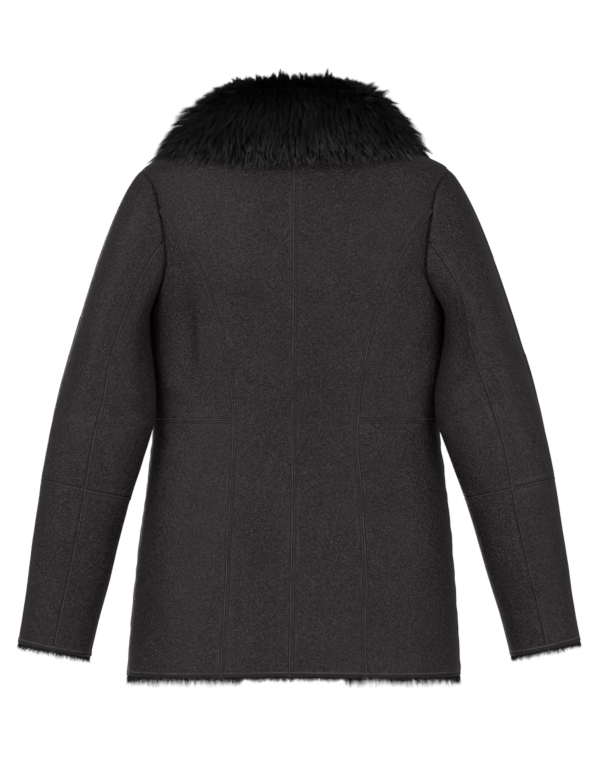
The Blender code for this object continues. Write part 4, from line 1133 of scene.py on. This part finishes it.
def sewing():
    """All the seams that show as bands, and the rows of stitches along hems and edges."""
    for side in (-1, 1):
        body, arm = partial(body_point, lapped=side > 0), partial(sleeve_point, side)
        foot = princess_foot(side)
        lapped_seam(body, princess(side, np.linspace(foot, PRINCESS_TOP - 0.004, 200))[::-side])
        lapped_seam(body, waist_line(side, 60)[1:][::side])
        plain_seam(body, points(side * QUARTER, np.linspace(hem_height(QUARTER), UNDERARM - 0.010, 120)))
        plain_seam(body, points(side * QUARTER, np.linspace(SHOULDER_TIP + 0.003, -0.004, 30)))
        for turn in (QUARTER, FRONT_SEAM_TURN):
            rings = np.linspace(0.06, cuff_ring(turn), 240)
            plain_seam(arm, points(back_seam_turn(side, rings) if turn == QUARTER else turn, rings), side)
        turns = np.linspace(0, FULL, 120)
        plain_seam(arm, points(turns[::side], CROSS_SEAM_RING), side)
        turned_edge(arm, points(turns, cuff_ring(turns) - HEM_STITCH / RING_LENGTH)[::-side], side)
        edge = front_column(side, HEM_STITCH + 0.0005 - LAP_EDGE, np.linspace(0.008, 0.99, 160))
        turned_edge(body, edge[::side])
    lapped_seam(body_point, centre_seam(np.linspace(float(hem_height(0.0)), -0.034, 200)))
    around = np.linspace(-math.pi * 0.955, math.pi * 0.955, 500)
    turned_edge(body_point, points(around, hem_height(around) + HEM_STITCH))
    for label, on_side in (("left", -1), ("right", 1)):
        chosen = [band for band in bands if np.sign(band[0][..., 0].mean() + 1e-4) == on_side]
        # the rubbed marks are real wear with a painted highlight, and the groove marks, here called sunk, are
        # painted shade
        vertices, quads, rubbed, groove, total = [], [], [], [], 0
        for spot, rub_and_highlight, sunk, outside in chosen:
            faces = grid_quads(*spot.shape[:2])[:, ::-1 if outside > 0 else 1] + total
            vertices.append(spot.reshape(-1, 3))
            quads.append(faces)
            rubbed.append(rub_and_highlight.ravel())
            groove.append(sunk.ravel())
            total += spot.shape[0] * spot.shape[1]
        mesh_piece(f"seam_bands_{label}", np.concatenate(vertices), np.concatenate(quads), finishes=(LEATHER,),
                   marks={"rubbed": np.concatenate(rubbed), "groove": np.concatenate(groove)})
    lines = np.concatenate([line for line, _ in stitches])
    normals = np.concatenate([normal for _, normal in stitches])
    on_left = lines[:, 1, 0] < 0
    thread_mesh("stitches_left", lines[on_left], normals[on_left])
    thread_mesh("stitches_right", lines[~on_left], normals[~on_left])


# ------------------------------------------------------------------ hair

def strands(name, root, middle, tip, width, tint, finish, seed):
    """Flat tapered hairs: a quad from root to middle and a triangle to the tip, each turned at random."""
    draw = np.random.default_rng(seed)
    along = unit(tip - root)
    across = unit(np.cross(along, unit(draw.normal(size=root.shape)))) * width[:, None] / 2
    vertices = np.stack([root - across, root + across, middle + across * 0.8, middle - across * 0.8, tip],
                        axis=1)
    base = np.arange(len(root))[:, None] * 5
    shade = np.stack([tint * 0.35, tint * 0.35, tint * 0.8, tint * 0.8, np.minimum(tint * 1.3, 1.0)], axis=1)
    mesh_piece(name, vertices.reshape(-1, 3), base + [0, 1, 2, 3], base + [3, 2, 4], finishes=(finish,),
               marks={"tint": shade.ravel()})


def fringe(name, surface, path, outside, down, count, length, seed):
    """Wool that shows below a turned edge: fine hairs from inside the wall, most short and a few long.

    length gives the longest hair at each point of the path."""
    draw = np.random.default_rng(seed)
    spot, normal = beside(surface, path, (0.0,), outside)
    spot, normal = spot[:, 0], normal[:, 0]
    where = draw.uniform(0, len(spot) - 1, count)
    low = np.minimum(where.astype(int), len(spot) - 2)
    t = (where - low)[:, None]
    at, facing = spot[low] * (1 - t) + spot[low + 1] * t, unit(normal[low] * (1 - t) + normal[low + 1] * t)
    along = unit(spot[low + 1] - spot[low])
    longest = np.interp(where, np.arange(len(spot)), length) * (0.90 + 0.14 * ripple(at, 0.009, seed + 1))
    depth = draw.uniform(0.0004, WALL - 0.0004, count)[:, None]
    root = at - facing * depth - down * 0.0008
    lean = (facing * draw.normal(0.06, 0.16, count)[:, None] + along * draw.normal(0, 0.16, count)[:, None]
            + along * 0.16 * ripple(at, 0.006, seed + 2)[:, None])
    reach = (longest * (0.26 + 0.74 * draw.uniform(0, 1, count) ** 2.6))[:, None]
    tip = root + (down + lean) * reach
    middle = root + (down * 0.55 + lean * 0.30) * reach + along * draw.normal(0, 0.0002, count)[:, None]
    strands(name, root, middle, tip, draw.uniform(0.00016, 0.00030, count),
            draw.uniform(0.0, 1.0, count) ** 1.5, FRINGE, seed + 3)


def wool_edges():
    """Fringes of wool along the hem and round both cuffs, longer at the sides of the back."""
    straight_down = np.array([0.0, 0.0, -1.0])
    for name, middle, seed in (("back", 0.0, 61), ("front", math.pi, 65)):
        around = middle + np.linspace(-QUARTER, QUARTER, 500)
        x = np.abs(half_width(False, HEM_BACK) * np.sin(around))
        at_seam = np.exp(-((x - 0.097) / 0.006) ** 2)
        length = (0.0092 + 0.0062 * smooth_step(0.099, 0.112, x)) * (1 - 0.45 * at_seam)
        fringe(f"wool_edge_hem_{name}", body_point, points(around, hem_height(around)), 1, straight_down,
               HEM_HAIRS, length, seed)
    for side, label in ((-1, "left"), (1, "right")):
        arm = partial(sleeve_point, side)
        turns = np.linspace(0, FULL, 300)
        cuff = cuff_ring(turns)
        down = unit(arm(turns, cuff).mean(axis=0) - arm(turns, cuff - 1).mean(axis=0))
        fringe(f"wool_edge_cuff_{label}", arm, points(turns, cuff), side, down, CUFF_HAIRS,
               np.full(len(turns), CUFF_HAIR_LENGTH), 71 + side)


# ------------------------------------------------------------------ collar

COLLAR_STATIONS = 220
COLLAR_ACROSS = 60         # points over the fur's face, and those of them that lie on the stand
STAND_ACROSS = COLLAR_ACROSS // 3
UNDER_ACROSS = 9
LOCKS = (84, 20)           # tufts along the collar and across it
COATS = (                  # label, from and to which share of the collar's length, hairs
    ("left", 0.0, 0.36, 38000), ("back", 0.36, 0.64, 42000), ("right", 0.64, 1.0, 38000))


def collar_base(turn, height):
    """Distance from the body's middle line at which the collar lies, above the lap of the fronts."""
    lap = LAP_RISE * smooth_step(0.075, 0.055, np.abs(np.sin(turn)) * 0.10) * (np.cos(turn) < 0)
    spot = body_point(turn, height, lift=lap)
    return np.hypot(spot[..., 0] - read(BODY, "middle_x", height),
                    spot[..., 1] - read(BODY, "middle_y", height))


def collar_points(turn, section):
    """Points in space of sections that are given as (distance from the middle, height)."""
    radius, height = section[..., 0], section[..., 1]
    x = read(BODY, "middle_x", height) + radius * np.sin(turn)[:, None]
    y = read(BODY, "middle_y", height) - radius * np.cos(turn)[:, None]
    return np.stack([x, y, height], axis=-1)


def collar_sections(turn):
    """The collar's section at each turn, in two lines of (distance, height) points.

    The first line is the fur's face: up the inside of the stand, over the top and down the fall, its
    outer part the cubic curve of four corners. The second line goes back along the body under it."""
    degrees = np.abs(np.degrees(turn))
    top, edge, tip = (read(COLLAR, column, degrees) for column in ("top", "edge", "tip"))
    base = neck_height(turn)
    narrowing = np.maximum(np.sin(turn), 0.0)
    edge = base + (edge - base) * (1 - COLLAR_RIGHT_SHORTER * narrowing)
    tip = tip - COLLAR_RIGHT_THINNER * narrowing
    neck = collar_base(turn, base)
    rise = top - base
    seat = COLLAR_SEAT * (1 + 1.6 * smooth_step(110, 150, degrees))
    under_heights = base[:, None] + np.linspace(1.0, 0.16, UNDER_ACROSS) * (edge - base)[:, None]
    radii = collar_base(np.repeat(turn[:, None], UNDER_ACROSS, axis=1), under_heights)
    slope = np.gradient(radii, axis=1) / np.gradient(under_heights, axis=1)
    lift = FALL_CLEARANCE / np.sqrt(1 + slope ** 2)
    under = np.stack([radii + lift, under_heights - lift * slope], axis=-1)

    def bezier(corners, count):
        t = np.linspace(0, 1, count)[None, :, None]
        corners = [np.stack(corner, axis=-1)[:, None] for corner in corners]
        return ((1 - t) ** 3 * corners[0] + 3 * t * (1 - t) ** 2 * corners[1]
                + 3 * t * t * (1 - t) * corners[2] + t ** 3 * corners[3])
    stand = bezier([(neck - WALL, base + seat), (neck - 0.010, base + 0.35 * rise),
                    (neck - 0.009, base + 0.75 * rise), (neck + 0.001, top - 0.004)], STAND_ACROSS)
    fall = bezier([(neck + 0.006, top), (neck + 0.040, top - 0.003),
                   (under[:, 0, 0] + tip - 0.012, edge + 0.043), (under[:, 0, 0] + tip, edge + 0.002)],
                  COLLAR_ACROSS - STAND_ACROSS)
    fold = np.stack([np.stack([neck + 0.012, base + 0.55 * rise], -1),
                     np.stack([neck + 0.009, base + 0.55 * rise], -1),
                     np.stack([neck + 0.001, base + seat], -1)], axis=1)
    return np.concatenate([stand, fall], axis=1), np.concatenate([under, fold], axis=1)


def read_grid(values, u, v):
    """Values of a grid at fractions u, v of its two sides, each between its four nearest points."""
    x, y = u * (values.shape[0] - 1), v * (values.shape[1] - 1)
    i, j = np.minimum(x.astype(int), values.shape[0] - 2), np.minimum(y.astype(int), values.shape[1] - 2)
    s, t = (x - i)[:, None], (y - j)[:, None]
    return ((values[i, j] * (1 - s) + values[i + 1, j] * s) * (1 - t)
            + (values[i, j + 1] * (1 - s) + values[i + 1, j + 1] * s) * t)


def collar_fur():
    """The collar's skin, sunk by the depth of its coat, and the hair that stands out to the outline.

    A hair leaves the skin along a mix of three directions: outwards, down the fall and along the
    collar. The mix goes from upright on the top fold to combed down at the lower edge. Hairs lean
    towards the middle of their lock, and the locks point a little to one side or the other."""
    turn = np.linspace(-COLLAR_END, COLLAR_END, COLLAR_STATIONS)
    face, back = collar_sections(turn)
    face, back = collar_points(turn, face), collar_points(turn, back)
    along = unit(np.gradient(face, axis=0))
    down = unit(np.gradient(face, axis=1))
    outwards = unit(np.cross(down, along))
    stand = STAND_ACROSS / COLLAR_ACROSS
    v = np.linspace(0, 1, COLLAR_ACROSS)[None, :]
    u = np.linspace(0, 1, COLLAR_STATIONS)[:, None]
    ends = smooth_step(0.0, 0.03, u) * smooth_step(1.0, 0.97, u)
    on_fall = smooth_step(stand * 0.75, stand * 1.15, v)
    depth = (STAND_FUR_DEPTH + (FUR_DEPTH - STAND_FUR_DEPTH) * on_fall) * (0.35 + 0.65 * ends)
    depth = depth * (1 - 0.35 * smooth_step(0.90, 1.0, v))
    skin = face - outwards * depth[..., None]
    section = np.concatenate([skin, back], axis=1)
    columns, rows = section.shape[:2]
    number = np.arange(columns * rows).reshape(columns, rows)
    after = np.roll(number, -1, axis=1)
    quads = np.stack([number[:-1], after[:-1], after[1:], number[1:]], axis=-1).reshape(-1, 4)
    middle = section.mean(axis=1)[[0, -1]]
    fans = np.concatenate([np.stack([after[0], number[0], np.full(rows, columns * rows)], -1),
                           np.stack([number[-1], after[-1], np.full(rows, columns * rows + 1)], -1)])
    base = mesh_piece("collar_skin", np.concatenate([section.reshape(-1, 3), middle]), quads, fans,
                      finishes=(UNDERCOAT,))
    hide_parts("collar")
    for number, (label, low, high, count) in enumerate(COATS):
        draw = np.random.default_rng(80 + number)
        hair_u = draw.uniform(low, high, count)
        hair_v = stand * 0.55 + (1 - stand * 0.55) * draw.uniform(0, 1, count)
        locks = draw.random(LOCKS + (4,))
        cell = np.minimum((hair_u * LOCKS[0]).astype(int), LOCKS[0] - 1), (hair_v * LOCKS[1]).astype(int)
        lock_u, lock_v, lock_long, lock_lean = np.moveaxis(locks[cell], -1, 0)
        lock_u = (cell[0] + 0.1 + 0.8 * lock_u) / LOCKS[0]
        lock_v = (cell[1] + 0.1 + 0.8 * lock_v) / LOCKS[1]

        def hair(at_u, at_v, wild):
            """Root, direction, length and the skin's outward direction of the hairs at (u, v)."""
            root, facing, way, side = (read_grid(g, at_u, at_v) for g in (skin, outwards, down, along))
            combed = smooth_step(stand * 1.05, 0.72, at_v)
            inner = smooth_step(stand * 1.25, stand * 0.7, at_v)
            sway = 0.30 * ripple(root, 0.050, 91) + 0.16 * ripple(root, 0.017, 92)
            end = smooth_step(0.965, 1.0, at_u) - smooth_step(0.035, 0.0, at_u)
            aim = (facing * (0.98 - 0.52 * combed)[:, None]
                   + way * (1.02 * combed - 0.45 * inner + 0.08)[:, None]
                   + side * (sway + 0.8 * end)[:, None] + wild)
            off_middle = np.abs(at_u - 0.5)
            flare = np.exp(-((off_middle - 0.268) / 0.07) ** 2) * combed
            low_top = smooth_step(0.03, 0.12, off_middle) * (1 - combed) * np.where(at_u < 0.5, 0.0055, 0.0025)
            reach = (0.0162 + 0.0038 * combed - 0.0040 * inner - 0.0055 * smooth_step(0.85, 1.0, at_v)
                     + 0.0050 * flare - low_top + 0.0022 * ripple(root, 0.03, 93))
            aim = aim + facing * (0.35 * flare)[:, None]
            return root, unit(aim), reach, facing
        wild = draw.normal(0, 0.13, (count, 3))
        root, aim, reach, facing = hair(hair_u, hair_v, wild)
        leaning = read_grid(along, lock_u, lock_v) * (lock_lean[:, None] - 0.5) * 0.7
        lock_root, lock_aim, lock_reach, _ = hair(lock_u, lock_v, leaning)
        reach = reach * draw.uniform(0.55, 1.0, count)
        lock_reach = lock_reach * (0.85 + 0.50 * lock_long ** 3)
        tip = root + aim * reach[:, None]
        gather = (draw.uniform(0.20, 0.60, count) + 0.30 * lock_long ** 2)[:, None]
        tip = tip + gather * (lock_root + lock_aim * lock_reach[:, None] - tip)
        bend = root + (tip - root) * 0.5 + facing * reach[:, None] * 0.10
        # painted light: the hairs' tint is near black on the collar's top and rises towards its lower edge, in
        # place of how the light falls on them
        painted_low_light = 0.04 + 0.96 * smooth_step(0.72, 0.94, hair_v)
        bright = draw.uniform(0, 1, count) ** 5
        strands(f"collar_fur_{label}", root, bend, tip, 0.00018 + 0.00014 * draw.uniform(0, 1, count)
                + 0.00030 * bright, bright * painted_low_light, FUR, 95 + number)


# ------------------------------------------------------------------ buttons

# radius of each turned circle and its height, as shares of the button's own
BUTTON_TURNING = table("step radius height",
                       (0, 0.90, 0.0), (1, 0.985, 0.14), (2, 1.0, 0.38), (3, 0.985, 0.70), (4, 0.94, 0.93),
                       (5, 0.88, 1.0), (6, 0.80, 0.95), (7, 0.70, 0.74), (8, 0.58, 0.66), (9, 0.0, 0.66))
HOLE_REACH = 0.0031        # from the button's middle to each of its four holes
HOLE_RADIUS = 0.00105
HOLE_DEPTH = 0.0019
BUTTON_FACE = 0.66         # height of the sunk middle, as a share of the button's
THREAD_LANES = (-0.00030, 0.00030)
SLIT_SHIFT, SLIT_HALF_LENGTH, SLIT_HALF_WIDTH = -0.0025, 0.0125, 0.0012
SLIT_THREAD_RADIUS = 0.00055
SLIT_POINTS = 64


def button(number, height):
    """Turned disc with a raised rim and four sunk holes; two threads cross them side by side."""
    spot = turn_at(1, np.array(0.0), height, front=True)
    normal = body_normal(spot, height, True)
    seat = body_point(spot, height, True) + BUTTON_SEAT * normal
    across = unit(np.cross([0.0, 0.0, 1.0], normal))
    upward = np.cross(normal, across)
    sides, steps = 72, np.concatenate([np.linspace(0, 8, 18), np.linspace(8, 9, 26)[1:]])
    angle = np.linspace(0, FULL, sides, endpoint=False)[:, None]
    radius = read(BUTTON_TURNING, "radius", steps)[None] * BUTTON_RADIUS
    level = read(BUTTON_TURNING, "height", steps)[None] * BUTTON_THICKNESS + 0 * angle
    x, y = radius * np.cos(angle), radius * np.sin(angle)
    reach = HOLE_REACH / math.sqrt(2)
    hole = np.hypot(np.abs(x) - reach, np.abs(y) - reach)
    level = level - HOLE_DEPTH * smooth_step(HOLE_RADIUS * 1.15, HOLE_RADIUS * 0.80, hole)
    rings = seat + x[..., None] * across + y[..., None] * upward + level[..., None] * normal
    quads = grid_quads(sides, len(steps), around=True)
    bottom = len(rings.reshape(-1, 3))
    start = np.arange(sides) * len(steps)
    fan = np.stack([np.roll(start, -1), start, np.full(sides, bottom)], axis=-1)
    made = mesh_piece(f"button_{number}_disc", np.concatenate([rings.reshape(-1, 3), [seat]]), quads, fan,
                      finishes=(HORN,))
    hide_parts(f"button_{number}")
    lines, normals = [], []
    for lane in (-1, 1):
        for shift in THREAD_LANES:
            lines.append([seat + reach * lane * upward + shift * upward + s * reach * across
                          + (BUTTON_FACE * BUTTON_THICKNESS + h) * normal
                          for s, h in ((-1.0, -0.0003), (0.0, 0.00045), (1.0, -0.0003))])
            normals.append(normal)
    return np.array(lines), np.array(normals)


def buttonhole(height):
    """Edge of a buttonhole: a loop of whipped thread round a slit that starts under the button."""
    angle = np.linspace(0, FULL, SLIT_POINTS, endpoint=False)
    x = SLIT_SHIFT + SLIT_HALF_LENGTH * np.sign(np.cos(angle)) * np.abs(np.cos(angle)) ** 0.6
    z = height + SLIT_HALF_WIDTH * np.sign(np.sin(angle)) * np.abs(np.sin(angle)) ** 0.8
    turn = turn_at(1, x, z, front=True)
    spot = body_point(turn, z, True)
    normal = body_normal(turn, z, True)
    along = unit(np.roll(spot, -1, axis=0) - np.roll(spot, 1, axis=0))
    side = np.cross(normal, along)
    around = np.linspace(0, FULL, 8, endpoint=False)
    tube = SLIT_THREAD_RADIUS * (1 + 0.18 * np.sin(np.arange(SLIT_POINTS) * 2.1))[:, None, None]
    return spot[:, None] + tube * (np.cos(around)[None, :, None] * side[:, None]
                                   + np.sin(around)[None, :, None] * normal[:, None])


def buttons():
    lines, normals, loops = [], [], []
    for number, height in enumerate(BUTTON_HEIGHTS, start=1):
        line, normal = button(number, height)
        lines.append(line)
        normals.append(normal)
        loops.append(buttonhole(height))
    thread_mesh("button_threads", np.concatenate(lines), np.concatenate(normals))
    loops = np.array(loops)
    count, along, around = loops.shape[:3]
    number = np.arange(count * along * around).reshape(count, along, around)
    beyond, beside_it = np.roll(number, -1, axis=1), np.roll(number, -1, axis=2)
    quads = np.stack([number, beside_it, np.roll(beyond, -1, axis=2), beyond], axis=-1).reshape(-1, 4)
    mesh_piece("buttonholes", loops.reshape(-1, 3), quads, finishes=(THREAD,))


# ------------------------------------------------------------------ the set

WHITE = (1, 1, 1, 1)
WORLD_LIGHT = 0.34         # strength of the surroundings as light, while they look pure white
FLOOR_LEVEL, FLOOR_RADIUS, FLOOR_SIDES = -1.45, 4, 96
LIGHT_SIZE = 1.6
LIGHTS = (                 # name, place, what it is aimed at, power in watts
    ("key", (-2.7, -2.9, 1.1), (0, 0, -0.3), 98),
    ("fill", (2.8, -2.8, 0.0), (0, 0, -0.38), 62),
    ("front", (-0.6, 3.6, -0.1), (0, 0, -0.35), 44),
)
CAMERA_PLACE = (0.00585, -6.0, -0.328)
SENSOR_WIDTH, LENS = 36.0, 276.9


def studio():
    """White surroundings, a pale floor, three large soft lights and a long lens straight at the back."""
    scene = bpy.context.scene
    scene.view_settings.view_transform = "Standard"
    world = bpy.data.worlds.new("white_studio")
    scene.world = world
    world.use_nodes = True
    nodes, links = world.node_tree.nodes, world.node_tree.links
    seen, lit = nodes["Background"], nodes.new("ShaderNodeBackground")
    for backdrop, strength in ((seen, 1.0), (lit, WORLD_LIGHT)):
        backdrop.inputs["Color"].default_value = WHITE
        backdrop.inputs["Strength"].default_value = strength
    path, mix = nodes.new("ShaderNodeLightPath"), nodes.new("ShaderNodeMixShader")
    links.new(path.outputs["Is Camera Ray"], mix.inputs[0])
    links.new(lit.outputs[0], mix.inputs[1])
    links.new(seen.outputs[0], mix.inputs[2])
    links.new(mix.outputs[0], nodes["World Output"].inputs["Surface"])

    ring = np.linspace(0, FULL, FLOOR_SIDES, endpoint=False)
    rim = np.stack([FLOOR_RADIUS * np.cos(ring), FLOOR_RADIUS * np.sin(ring),
                    np.full(FLOOR_SIDES, FLOOR_LEVEL)], axis=-1)
    floor_mesh = bpy.data.meshes.new("floor")
    floor_mesh.from_pydata(rim.tolist(), [], [list(range(FLOOR_SIDES))])
    pale = Finish("floor_paint", 0.1)
    grit = pale.noise(pale.place(), 40.0, 4.0)
    floor_mesh.materials.append(pale.wear(pale.blend(grit, (0.78, 0.78, 0.79), (0.82, 0.82, 0.82)),
                                          0.75 + grit * 0.1, pale.relief(grit, 0.0005, 0.3)))
    floor = bpy.data.objects.new("floor", floor_mesh)
    scene.collection.objects.link(floor)

    for name, spot, aim, power in LIGHTS:
        light = bpy.data.lights.new(name, "AREA")
        light.size, light.energy = LIGHT_SIZE, power
        lamp = bpy.data.objects.new(name, light)
        lamp.location = spot
        way = np.subtract(aim, spot)
        tilt, heading = math.atan2(math.hypot(way[0], way[1]), -way[2]), math.atan2(way[1], way[0])
        lamp.rotation_euler = (tilt, 0, heading - QUARTER)
        scene.collection.objects.link(lamp)

    eye = bpy.data.cameras.new("eye")
    eye.sensor_fit, eye.sensor_width, eye.lens = "HORIZONTAL", SENSOR_WIDTH, LENS
    camera = bpy.data.objects.new("eye", eye)
    camera.location = CAMERA_PLACE
    camera.rotation_euler = (QUARTER, 0, 0)
    scene.collection.objects.link(camera)
    scene.camera = camera


def main():
    for side, label in ((-1, "left"), (1, "right")):
        back_centre(side, label)
        back_side(side, label)
        front(side, label)
        sleeve_panels(side, label)
    sewing()
    wool_edges()
    collar_fur()
    buttons()
    studio()
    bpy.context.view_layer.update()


main()
